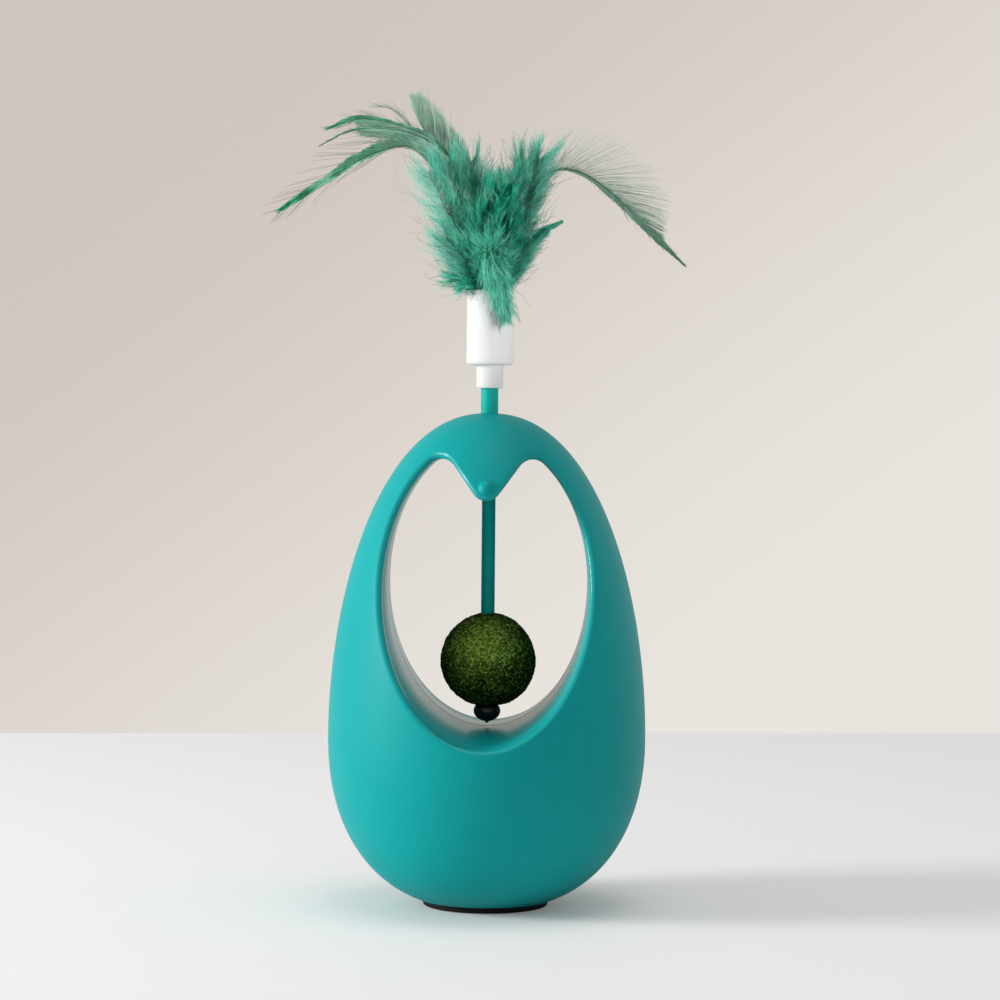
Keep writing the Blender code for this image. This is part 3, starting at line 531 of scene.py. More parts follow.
def turned(solid, profile, count, place=None, closed=False):
    """Turn a chain of (radius, height) points round +Z into one closed body of a bmesh."""
    place = place or Matrix.Identity(4)
    rings = []
    for radius, height in profile:
        if radius < MERGE_DISTANCE:
            rings.append([solid.verts.new(place @ Vector((0, 0, height)))])
        else:
            angles = np.linspace(0, 2 * math.pi, count, endpoint=False)
            ring = [(radius * math.cos(a), radius * math.sin(a), height) for a in angles]
            rings.append([solid.verts.new(place @ Vector(point)) for point in ring])
    pairs = list(zip(rings, rings[1:]))
    if closed:
        pairs.append((rings[-1], rings[0]))
    for low, high in pairs:
        for i in range(count):
            after = (i + 1) % count
            corners = [low[i % len(low)], low[after % len(low)], high[after % len(high)], high[i % len(high)]]
            unique = list(dict.fromkeys(corners))
            if len(unique) > 2:
                solid.faces.new(unique)
    return solid


def rounded(points, radii, steps=5):
    """A chain of points with chosen corners rounded."""
    chain = []
    for i, point in enumerate(points):
        radius = radii.get(i, 0)
        if not radius:
            chain.append(tuple(point))
            continue
        corner = Vector(point)
        back = (Vector(points[i - 1]) - corner).normalized()
        ahead = (Vector(points[(i + 1) % len(points)]) - corner).normalized()
        half = back.angle(ahead) / 2
        reach = radius / math.tan(half)
        centre = corner + (back + ahead).normalized() * (radius / math.sin(half))
        start, end = corner + back * reach - centre, corner + ahead * reach - centre
        for share in np.linspace(0, 1, steps + 1):
            spoke = start.lerp(end, share)
            chain.append(tuple(centre + spoke.normalized() * radius))
    return chain


def turned_piece(name, profile, count, finish, home, place=None):
    """A turned form as a finished piece. Its home is its body, its slot, which is not used, and the node that it
    replaces.
    """
    obj = new_object(name, finished_mesh(name, turned(bmesh.new(), profile, count, place)), finish)
    place_piece(obj, *home)


def arc(radius, start, end, count, centre=(0.0, 0.0)):
    angles = np.linspace(start, end, count)
    return [(centre[0] + radius * math.cos(a), centre[1] + radius * math.sin(a)) for a in angles]


def laid(x, z, way):
    """A matrix that turns +Z to the front or the rear and moves the origin to a place on the seam."""
    return Matrix.Translation((x, 0, z)) @ Matrix.Rotation(way * math.pi / 2, 4, "X")


def strip(solid, first, second):
    """Faces between two closed rows of vertices."""
    for i in range(len(first)):
        after = (i + 1) % len(first)
        solid.faces.new((first[i], first[after], second[after], second[i]))


def prism(name, first, second):
    """A closed body between two loops of points."""
    solid = bmesh.new()
    loops = [[solid.verts.new(point) for point in loop] for loop in (first, second)]
    strip(solid, *loops)
    for loop in loops:
        solid.faces.new(loop)
    return finished_mesh(name, solid)


# The egg's form


def egg_radius(egg, height):
    """The egg's radius at heights."""
    height = np.asarray(height, float)
    rise = np.clip((height - egg.belly_height) / (egg.crown_height - egg.belly_height), 0, 1)
    drop = np.clip((egg.belly_height - height) / (egg.belly_height + egg.underrun), 0, 1)
    upper = np.maximum(0, 1 - rise**egg.upper_inner) ** (1 / egg.upper_outer)
    lower = np.maximum(0, 1 - drop**egg.lower_inner) ** (1 / egg.lower_outer)
    return egg.belly_radius * np.where(height >= egg.belly_height, upper, lower)


def egg_depth(egg, x, z):
    """How far the egg's skin stands in front of the seam."""
    return np.sqrt(np.maximum(1e-14, egg_radius(egg, z) ** 2 - x**2))


def window_outline(window, side_flare):
    """The window's edge at the seam: points, normals into the shell, and shares of the flare.

    The wall opens fully at the floor and by the share of side_flare at the sides.
    """
    flank = Vector((math.cos(window.flank_angle), -math.sin(window.flank_angle)))
    pivot = Vector((0, window.pivot_height))

    def ellipse(angle):
        x, z = math.cos(angle), math.sin(angle)
        point = Vector((window.half_width * x, window.centre_height + window.half_height * z))
        return point, Vector((x / window.half_width, z / window.half_height)).normalized()

    low, high = 0.0, math.pi / 2
    for _ in range(40):
        corner = (low + high) / 2
        point, normal = ellipse(corner)
        centre = point - window.arch_radius * normal
        if (centre - pivot).dot(flank) > window.nose_radius + window.arch_radius:
            low = corner
        else:
            high = corner
    outline = []
    for a in np.linspace(-math.pi / 2, corner, 121).tolist():
        rise = min(1.0, max(0.0, 1 + a / (math.pi / 2)))
        outline.append((*ellipse(a), 1 + (side_flare - 1) * rise**2 * (3 - 2 * rise)))
    start = math.atan2(normal.y, normal.x)
    for share in np.linspace(0, 1, 26)[1:].tolist():
        a = start + share * (math.pi - window.flank_angle - start)
        normal = Vector((math.cos(a), math.sin(a)))
        fade = side_flare * (1 - share) ** 2 * (1 + 2 * share)
        outline.append((centre + window.arch_radius * normal, normal, fade))
    end = outline[-1][0]
    nose = pivot + window.nose_radius * flank
    for share in np.linspace(0, 1, 8)[1:-1].tolist():
        outline.append((end.lerp(nose, share), -flank, 0.0))
    for a in np.linspace(-window.flank_angle, -math.pi / 2, 14).tolist():
        away = Vector((math.cos(a), math.sin(a)))
        outline.append((pivot + window.nose_radius * away, -away, 0.0))
    points = np.array([tuple(entry[0]) for entry in outline])
    normals = np.array([tuple(entry[1]) for entry in outline])
    shares = np.array([entry[2] for entry in outline])
    flip = np.array([-1, 1])
    points = np.concatenate([points, points[-2:0:-1] * flip])
    normals = np.concatenate([normals, normals[-2:0:-1] * flip])
    return points, normals, np.concatenate([shares, shares[-2:0:-1]])


def wall_spread(window, depth, mouth, shares):
    return math.tan(window.draft) * mouth * (np.maximum(depth, 0) / mouth) ** window.flare_power * shares


def rim_rows(egg, window, side_flare):
    """Rows of (x, depth, z) points: over the window's rounded rim and down its wall to the seam."""
    points, normals, shares = window_outline(window, side_flare)
    radius = window.rim_round

    def skin(s):
        spot = points + s[:, None] * normals
        return egg_depth(egg, spot[:, 0], spot[:, 1])

    def centre(s):
        step = 0.00002
        slope = (skin(s + step) - skin(s - step)) / (2 * step)
        length = np.sqrt(1 + slope**2)
        return s + radius * slope / length, skin(s) - radius / length, slope

    mouth = skin(np.zeros(len(points)))
    low, high = np.zeros(len(points)), np.full(len(points), 3.2 * radius)
    for _ in range(40):
        middle = (low + high) / 2
        across, depth, slope = centre(middle)
        far = across - wall_spread(window, depth, mouth, shares) > radius
        high = np.where(far, middle, high)
        low = np.where(far, low, middle)
    across, depth, slope = centre(middle)
    rows = []
    start, end = np.arctan2(1, -slope), np.full(len(points), math.pi)
    for share in np.linspace(0, 1, RIM_ROWS):
        angle = start + share * (end - start)
        rows.append((across + radius * np.cos(angle), depth + radius * np.sin(angle)))
    for share in np.linspace(1, 0, WALL_ROWS)[1:]:
        level = depth * share
        rows.append((wall_spread(window, level, mouth, shares), level))
    rows = [(points + s[:, None] * normals, d) for s, d in rows]
    return rows, points, normals


def inside(points, loop):
    """Which points lie in a closed loop."""
    found = np.zeros(len(points), bool)
    x, y = points[:, 0], points[:, 1]
    for (x0, y0), (x1, y1) in zip(loop, np.roll(loop, -1, axis=0)):
        if y0 != y1:
            found ^= ((y0 > y) != (y1 > y)) & (x < (x1 - x0) * (y - y0) / (y1 - y0) + x0)
    return found


def clear_of(points, marks, distance):
    """Which points keep a distance from marks."""
    keep = np.ones(len(points), bool)
    for start in range(0, len(points), 2000):
        block = points[start:start + 2000]
        gaps = np.linalg.norm(block[:, None] - marks[None], axis=2).min(axis=1)
        keep[start:start + 2000] = gaps > distance
    return keep


def triangles_between(points, edges, hole):
    """Triangles on the points that keep the edges, less those in the hole."""
    verts, _, faces, _, _, _ = delaunay_2d_cdt([Vector(p) for p in points.tolist()], edges, [], 0, 1e-9)
    verts = np.array([tuple(v) for v in verts])
    faces = np.array(faces)
    return verts, faces[~inside(verts[faces].mean(axis=1), hole)]


def loop_edges(start, count):
    return [(start + i, start + (i + 1) % count) for i in range(count)]


def egg_skin(egg, rim):
    """The front half of the egg's skin outside the rim, as (x, depth, z) points and triangles.

    The skin is spread flat by the direction of each point seen from the egg's middle.
    """
    middle = SKIN_MIDDLE

    def spread(x, depth, z):
        side = np.sqrt(x**2 + (z - middle) ** 2)
        angle = np.arctan2(side, depth)
        return np.stack([x, z - middle], axis=1) / np.maximum(side, 1e-9)[:, None] * angle[:, None]

    def gather(flat):
        angle = np.linalg.norm(flat, axis=1)
        side = flat / np.maximum(angle, 1e-9)[:, None] * np.sin(angle)[:, None]
        forward = np.cos(angle)
        low, high = np.zeros(len(flat)), np.full(len(flat), 0.12)
        for _ in range(45):
            reach = (low + high) / 2
            z = middle + reach * side[:, 1]
            out = (reach * side[:, 0]) ** 2 + (reach * forward) ** 2 > egg_radius(egg, z) ** 2
            out |= (z < egg.flat_height) | (z > egg.crown_height)
            high = np.where(out, reach, high)
            low = np.where(out, low, reach)
        return np.stack([low * side[:, 0], low * forward, middle + low * side[:, 1]], axis=1)

    flat_radius = float(egg_radius(egg, egg.flat_height))
    corner = math.atan2(egg.flat_height - middle, flat_radius)
    over = np.linspace(corner, math.pi - corner, BORDER_POINTS)
    under = np.linspace(math.pi - corner, 2 * math.pi + corner, 38)[1:-1]
    angles = np.concatenate([over, under])
    border = np.stack([np.cos(angles), np.sin(angles)], axis=1) * (math.pi / 2)
    turns = np.linspace(0, math.pi, 60)[1:-1]
    heel = spread(flat_radius * np.cos(turns), flat_radius * np.sin(turns), np.full(len(turns), egg.flat_height))
    rim_flat = spread(*rim.T)
    step = egg.facet / SKIN_DISTANCE
    cols = np.arange(-math.pi / 2, math.pi / 2, step)
    grid = []
    for i, v in enumerate(np.arange(-math.pi / 2, math.pi / 2, step * math.sqrt(3) / 2)):
        grid.append(np.stack([cols + (i % 2) * step / 2, np.full(len(cols), v)], axis=1))
    grid = np.concatenate(grid)
    grid = grid[np.linalg.norm(grid, axis=1) < math.pi / 2 - step * 0.6]
    grid = grid[~inside(grid, rim_flat)]
    grid = grid[clear_of(grid, np.concatenate([rim_flat, heel]), step * 0.62)]
    edges = loop_edges(0, len(border)) + loop_edges(len(border), len(rim))
    heel_start = len(border) + len(rim)
    heel_chain = [0, *range(heel_start, heel_start + len(heel)), BORDER_POINTS - 1]
    edges += list(zip(heel_chain, heel_chain[1:]))
    flat, faces = triangles_between(np.concatenate([border, rim_flat, heel, grid]), edges, rim_flat)
    skin = gather(flat)
    skin[np.linalg.norm(flat, axis=1) > math.pi / 2 - 1e-6, 1] = 0
    skin[len(border):len(border) + len(rim)] = rim
    return skin, faces, skin[:len(border)]


def half_shell(egg, window, side_flare):
    """The front half of the egg: skin, rounded rim, window's wall, seam edges and seam face."""
    lift = egg.seam_gap + egg.seam_round
    squeeze = 1 - lift / egg.belly_radius
    rows, points, normals = rim_rows(egg, window, side_flare)
    rim = np.stack([rows[0][0][:, 0], rows[0][1], rows[0][0][:, 1]], axis=1)
    skin, faces, border = egg_skin(egg, rim)
    solid = bmesh.new()
    polish = solid.verts.layers.float.new("polish")
    edging = solid.verts.layers.float.new("rim")

    def add(x, depth, z, shine=0.0, gloss=0.0):
        vert = solid.verts.new((x, -depth, z))
        vert[polish] = shine
        vert[edging] = gloss
        return vert

    verts = [add(x, lift + d * squeeze, z) for x, d, z in skin.tolist()]
    for face in faces.tolist():
        solid.faces.new([verts[i] for i in face])
    rim_verts = verts[len(border):len(border) + len(rim)]
    last = rim_verts
    for i, (spots, depth) in enumerate(rows[1:]):
        shine = min(1.0, max(0.0, (i - RIM_ROWS + 1) / POLISH_ROWS))
        gloss = 1.0 if 0 < i < RIM_ROWS else 0.0
        row = [add(x, lift + d * squeeze, z, shine, gloss) for (x, z), d in zip(spots.tolist(), depth.tolist())]
        strip(solid, last, row)
        last = row
    for angle in np.linspace(math.pi, 1.5 * math.pi, 4)[1:]:
        spots = points + egg.seam_round * (1 + math.cos(angle)) * normals
        depth = lift + egg.seam_round * math.sin(angle)
        row = [add(x, depth, z) for x, z in spots.tolist()]
        strip(solid, last, row)
        last = row
    outline = border[:, [0, 2]]
    ahead = np.roll(outline, -1, axis=0) - np.roll(outline, 1, axis=0)
    outward = np.stack([ahead[:, 1], -ahead[:, 0]], axis=1) / np.linalg.norm(ahead, axis=1)[:, None]
    edge = verts[:len(border)]
    for angle in np.linspace(0, -math.pi / 2, 4)[1:]:
        spots = outline - egg.seam_round * (1 - math.cos(angle)) * outward
        row = [add(x, lift + egg.seam_round * math.sin(angle), z) for x, z in spots.tolist()]
        strip(solid, row, edge)
        edge = row
    loops = np.array([(v.co.x, v.co.z) for v in edge + last])
    edges = loop_edges(0, len(edge)) + loop_edges(len(edge), len(last))
    _, faces = triangles_between(loops, edges, loops[len(edge):])
    ring = edge + last
    for face in faces.tolist():
        solid.faces.new([ring[i] for i in face])
    return solid


def cutter(profile, count, place=None):
    return new_object("cutter", finished_mesh("cutter", turned(bmesh.new(), profile, count, place)))


def stem_bore(pendulum, top, egg):
    """The bore in the crown for the stem, with a wider pocket for its flange."""
    gap = pendulum.fit_gap
    bore, pocket = top.stem_radius + gap, top.flange_radius + gap
    low, high, out = STEM_LOW.z - gap, STEM_LOW.z + top.flange_thickness + gap, egg.crown_height + OVERSHOOT
    return cutter([(0, out), (bore, out), (bore, high), (pocket, high), (pocket, low), (0, low)], 48)


def eye_slot(pendulum, window):
    """The keyhole in the drip for the rod's eye, open below where the rod swings."""
    gap = pendulum.fit_gap
    half_depth = pendulum.eye_thickness / 2 + gap
    radius = pendulum.eye_radius + gap
    drop = window.nose_radius + OVERSHOOT
    half_width = pendulum.rod_radius / math.cos(pendulum.swing) + drop * math.tan(pendulum.swing) + gap
    start = -math.acos(half_width / radius)
    outline = [(half_width, -drop), *arc(radius, start, math.pi - start, 40), (-half_width, -drop)]
    loops = [[(x, y, window.pivot_height + z) for x, z in outline] for y in (-half_depth, half_depth)]
    return new_object("cutter", prism("cutter", *loops))


def screw_centre(node):
    low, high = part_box(node)
    return (low.x + high.x) / 2, (low.z + high.z) / 2


def screw_well(node):
    """A counterbore from the rear down to the screw's seat, with a clearance hole below it."""
    low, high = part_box(node)
    well, hole = (high.x - low.x) / 2 + HAIR_GAP, 0.0015
    rear, seat, seam = 0.044, high.y - 0.0019, 0.0002
    profile = [(0, rear), (well, rear), (well, seat), (hole, seat), (hole, seam), (0, seam)]
    return cutter(profile, 40, laid(*screw_centre(node), REAR))


def apply_modifiers(obj):
    """Bake an object's modifiers into a plain mesh."""
    depsgraph = bpy.context.evaluated_depsgraph_get()
    mesh = bpy.data.meshes.new_from_object(obj.evaluated_get(depsgraph), depsgraph=depsgraph)
    obj.modifiers.clear()
    obj.data = mesh
    return mesh


def node_group(name, inputs):
    """A geometry tree with inputs named by kind: its nodes, the inputs' wires and their identifiers."""
    tree = bpy.data.node_groups.new(name, "GeometryNodeTree")

    def socket(key, way, kind):
        return tree.interface.new_socket(name=key, in_out=way, socket_type="NodeSocket" + kind).identifier

    names = {key: socket(key, "INPUT", kind) for kind, keys in inputs.items() for key in keys}
    socket("Result", "OUTPUT", "Geometry")
    work = NodeWork(tree)
    given = tree.nodes.new("NodeGroupInput")
    return work, {key: Wire(work, given.outputs[key]) for key in names}, names


def close_group(work, made, finish):
    """Realize what a tree made, give it its finish and hand it out."""
    made = work.node("GeometryNodeRealizeInstances", None, {"Geometry": made})
    made = work.node("GeometryNodeSetMaterial", None, {"Geometry": made, "Material": finish})
    result = work.tree.nodes.new("NodeGroupOutput")
    work.tree.links.new(made.socket, result.inputs["Result"])


def run_tree(obj, tree, names, values):
    """Run a tree on an object, with values by the inputs' names, and keep a plain mesh."""
    modifier = obj.modifiers.new("tree", "NODES")
    modifier.node_group = tree
    for name, value in values.items():
        modifier[names[name]] = value
    return apply_modifiers(obj)


def carve(obj, cutters):
    for tool in cutters:
        modifier = obj.modifiers.new("cut", "BOOLEAN")
        modifier.operation = "DIFFERENCE"
        modifier.object = tool
        modifier.solver = "EXACT"
    mesh = apply_modifiers(obj)
    for tool in cutters:
        bpy.data.objects.remove(tool, do_unlink=True)
    mesh.set_sharp_from_angle(angle=SMOOTH_ANGLE)


# Feathers


class Side(NamedTuple):
    """The barbs of one side, each chain of values at even steps from the first barb to the tip."""

    reach: tuple
    angle: tuple
    width: tuple
    # Share of the pale colour: thin dye on the vanes, and a painted highlight on the down.
    tint: tuple


class Feather(NamedTuple):
    """One feather: its spines, and how its barbs stand on them.

    A spine is the share of their reach that its barbs have, and then its points in thousandths of
    the bundle. The near side lies to the left of a spine's travel seen from the front, the far side
    to its right, and no far side means that both are alike. Reaches and widths are in mm, angles in
    degrees from the spine.
    """

    name: str
    slot: str
    spines: tuple
    near: Side
    far: Side
    barbs: int
    bend: float
    puff: float
    ruffle: float
    strays: float
    stray_reach: float
    quill: float
    barbules: int
    fluff: float
    bare: float
    taper: float


# Angles of the barbs of a full round tuft
FAN = (82, 78, 74, 70, 64, 58, 50, 38)

FEATHERS = (
    Feather(
        "plume_left_long", "vane",
        (
            (1, (-55, 200, 30), (-120, 500, 293), (-228, 620, 567), (-365, 620, 749), (-547, 580, 715),
             (-734, 550, 593), (-967, 500, 420)),
        ),
        Side((1, 4, 5, 5, 4.8, 4.2, 2), (25, 16, 11, 10, 10, 10, 9), (0.11, 0.11), (0.5, 0.2, 0.1, 0)),
        Side((3, 6, 6.5, 6.5, 6, 5, 2.2), (30, 20, 14, 12, 11, 10, 9), (0.11, 0.11), (0.5, 0.2, 0.1, 0)),
        1200, 0.05, 0.08, 0.016, 0.05, 2.4, 0.24, 0, 0.6, 0.46, 0.6,
    ),
    Feather(
        "plume_left_upper", "vane",
        (
            (1, (-38, 310, 30), (-75, 600, 430), (-155, 620, 635), (-269, 660, 785), (-420, 700, 860),
             (-598, 750, 899), (-753, 800, 853)),
            (0.34, (-38, 250, 30), (-68, 500, 417), (-137, 550, 614), (-251, 600, 749), (-388, 640, 827),
             (-543, 680, 850), (-666, 700, 832), (-794, 720, 759)),
        ),
        Side((6, 12, 15, 15, 8, 4, 1.8), (40, 38, 36, 28, 17, 11, 7), (0.1, 0.09), (0.8, 0.8, 0.75, 0.6, 0.3, 0.1)),
        Side((1, 2.5, 3, 3.4, 4, 4, 2.2), (20, 16, 14, 13, 12, 10, 8), (0.11, 0.11), (0.3, 0.2, 0.05)),
        1500, 0.12, 0.1, 0.02, 0.04, 1.6, 0.24, 0, 0.6, 0.4, 0.6,
    ),
    Feather(
        "plume_left_crest", "vane",
        (
            (1, (-10, 370, 30), (-50, 1000, 350), (-141, 1100, 599), (-251, 1120, 754), (-324, 1120, 858),
             (-374, 1120, 972)),
        ),
        Side((0, 1, 1, 0.9, 0.6), (20, 14, 12, 10, 8), (0.1, 0.1), (0.4,)),
        Side((3, 9.5, 12, 11, 3.5), (40, 44, 44, 36, 12), (0.085, 0.055), (0.5, 0.8, 0.9)),
        1300, 0.16, 0.14, 0.03, 0.03, 1.25, 0.2, 0, 0.6, 0.5, 0.7,
    ),
    Feather(
        "plume_left_wisp", "vane",
        (
            (1, (14, 380, 30), (-20, 1200, 350), (-170, 1350, 650), (-360, 1380, 848), (-456, 1380, 956),
             (-538, 1380, 982)),
        ),
        Side((2, 5, 5, 2.5), (9, 7, 6, 5), (0.06, 0.05), (0.9,)),
        Side((2, 4, 4, 2.5), (9, 7, 6, 5), (0.06, 0.05), (0.9,)),
        160, 0.1, 0.2, 0.05, 0.5, 1.2, 0.16, 0, 0.6, 0.6, 0.6,
    ),
    Feather(
        "plume_right_long", "vane",
        (
            (1, (44, 280, 30), (85, 720, 230), (173, 850, 479), (269, 880, 630), (392, 870, 635), (516, 860, 554),
             (634, 840, 433), (757, 830, 287), (887, 820, 147)),
        ),
        Side(
            (5, 12, 16, 17, 15, 10, 5, 2.8, 1), (22, 32, 42, 36, 30, 24, 16, 12, 8),
            (0.05, 0.045, 0.045, 0.06, 0.1, 0.1), (0.7, 0.6, 0.6, 0.5, 0.3),
        ),
        Side(
            (4, 7, 7, 7, 6, 5, 3.8, 2.4, 1), (24, 22, 20, 18, 16, 15, 13, 11, 10),
            (0.06, 0.055, 0.06, 0.08, 0.1, 0.1), (0.9, 0.8, 0.6, 0.4, 0.3),
        ),
        760, 0.08, 0.14, 0.035, 0.07, 1.15, 0.26, 0, 0.6, 0.38, 0.6,
    ),
    Feather(
        "plume_right_short", "down",
        (
            (1, (62, -40, 30), (100, -300, 121), (164, -360, 235), (237, -360, 308), (315, -360, 350)),
        ),
        Side((2, 3, 2.8, 2, 1, 0.15), (50, 42, 38, 32, 24, 12), (0.08, 0.05), (0.1,)),
        Side((3, 6, 6.2, 4.8, 2.2, 0.15), (62, 56, 48, 40, 28, 12), (0.08, 0.05), (0.3,)),
        1300, 0.3, 0.7, 0.14, 0.05, 1.3, 0.06, 16, 1, 0.12, 0.9,
    ),
    Feather(
        "down_left", "down",
        (
            (1, (-41, 20, 30), (-96, 80, 246), (-155, 80, 417), (-182, 60, 557), (-201, 60, 661)),
            (0.85, (-50, 250, 38), (-78, 450, 261), (-87, 500, 427), (-91, 500, 562), (-96, 500, 671)),
            (0.95, (-59, -200, 33), (-132, -300, 230), (-196, -300, 376), (-242, -250, 495), (-283, -100, 604)),
            (0.85, (-55, -150, 33), (-105, -400, 127), (-155, -500, 199), (-196, -500, 256)),
        ),
        # The near side's high pale shares paint the highlight where the key lamp lights the down's left.
        Side(
            (6, 9, 10, 10, 10, 9.5, 8.5, 7), (82, 78, 74, 70, 66, 60, 52, 40),
            (0.066, 0.048), (0.4, 0.8, 1, 1, 0.8),
        ),
        Side((6, 9, 10, 10, 9.5, 9, 8, 7), FAN, (0.062, 0.045), (0, 0.1, 0.3, 0.5)),
        440, 0.35, 1.05, 0.19, 0.15, 1.45, 0.07, 18, 2.5, 0.12, 0.92,
    ),
    Feather(
        "down_right", "down",
        (
            (1, (27, 80, 30), (59, 160, 210), (109, 220, 417), (169, 260, 573), (214, 280, 687)),
            (0.9, (36, 300, 33), (78, 500, 246), (105, 550, 417), (132, 550, 562), (151, 550, 676)),
            (0.85, (41, -100, 28), (82, -150, 158), (114, -150, 282), (146, -120, 417), (178, -100, 521)),
        ),
        Side((6, 8, 9, 9, 9, 9, 8, 7), FAN, (0.062, 0.045), (0, 0, 0.2, 0.4, 0.5)),
        Side(
            (6, 7, 7.5, 7.5, 8, 8.5, 8.5, 7.5), (82, 76, 70, 66, 62, 56, 50, 38),
            (0.062, 0.045), (0, 0.1, 0.3, 0.5, 0.5),
        ),
        590, 0.35, 1.05, 0.19, 0.15, 1.45, 0.07, 18, 2.5, 0.12, 0.92,
    ),
    Feather(
        "down_centre", "down",
        (
            (1, (-5, -120, 30), (-9, -380, 199), (-9, -460, 339), (14, -460, 433), (27, -460, 500)),
            (0.85, (5, -100, 33), (36, -450, 173), (55, -550, 298), (68, -500, 443), (73, -400, 531)),
            (0.8, (-18, 100, 28), (-46, 200, 184), (-41, 300, 365), (-27, 350, 469), (-36, 350, 541)),
        ),
        Side((6, 8, 8.5, 8, 8, 7.5, 7, 6), FAN, (0.062, 0.045), (0,)),
        None,
        590, 0.35, 1.1, 0.2, 0.12, 1.4, 0.07, 18, 2.4, 0.12, 0.92,
    ),
    Feather(
        "down_front", "down",
        (
            (1, (22, -340, 33), (5, -680, 137), (-7, -900, 215), (9, -1020, 137), (32, -1020, 38), (50, -1000, -34),
             (64, -980, -91)),
        ),
        Side(
            (2, 5, 7, 7.5, 7.5, 7, 6.5, 5.5, 4), (80, 76, 66, 56, 46, 38, 30, 24, 16),
            (0.09, 0.07), (0, 0.2, 0.5, 0.6),
        ),
        None,
        1750, 0.3, 1.65, 0.2, 0.08, 1.4, 0.05, 16, 1.8, 0.06, 0.92,
    ),
    Feather(
        "down_low_left", "down",
        (
            (1, (-36, -280, 23), (-73, -400, 54), (-123, -440, 67), (-155, -440, 64)),
            (0.5, (-41, -300, 18), (-78, -450, 33), (-109, -500, 33), (-132, -500, 18)),
        ),
        Side((3, 6, 7, 6, 5), (80, 64, 52, 42, 30), (0.08, 0.06), (0,)),
        Side((2, 4, 4, 4, 4), (60, 50, 45, 38, 25), (0.08, 0.06), (0,)),
        400, 0.3, 1.3, 0.3, 0.08, 1.5, 0.06, 14, 1.2, 0.06, 0.92,
    ),
)


# A side's chains, and the unit of each
SIDE_UNITS = {"reach": 0.001, "angle": math.radians(1), "width": 0.001, "tint": 1.0}
# The tree's inputs that a feather's values of the same names feed
SHARED_INPUTS = ("Bend", "Puff", "Ruffle", "Strays", "Stray reach", "Bare", "Taper")
SPINE_POINTS = 64
BARB_STEPS = 7
BARBULE_RADIUS = 0.00006


def smooth_path(points, count):
    """Points evenly spread over a smooth curve through the given ones."""
    knots = [2 * points[0] - points[1], *points, 2 * points[-1] - points[-2]]
    dense = []
    for a, b, c, d in zip(knots, knots[1:], knots[2:], knots[3:]):
        for t in np.linspace(0, 1, 16, endpoint=False):
            bend = (2 * a - 5 * b + 4 * c - d) * t**2 + (3 * b - a - 3 * c + d) * t**3
            dense.append((2 * b + (c - a) * t + bend) / 2)
    dense = np.array(dense + [points[-1]])
    steps = np.linalg.norm(np.diff(dense, axis=0), axis=1)
    travel = np.concatenate([[0], np.cumsum(steps)]) / steps.sum()
    wanted = np.linspace(0, 1, count)
    return np.stack([np.interp(wanted, travel, dense[:, i]) for i in range(3)], axis=1)


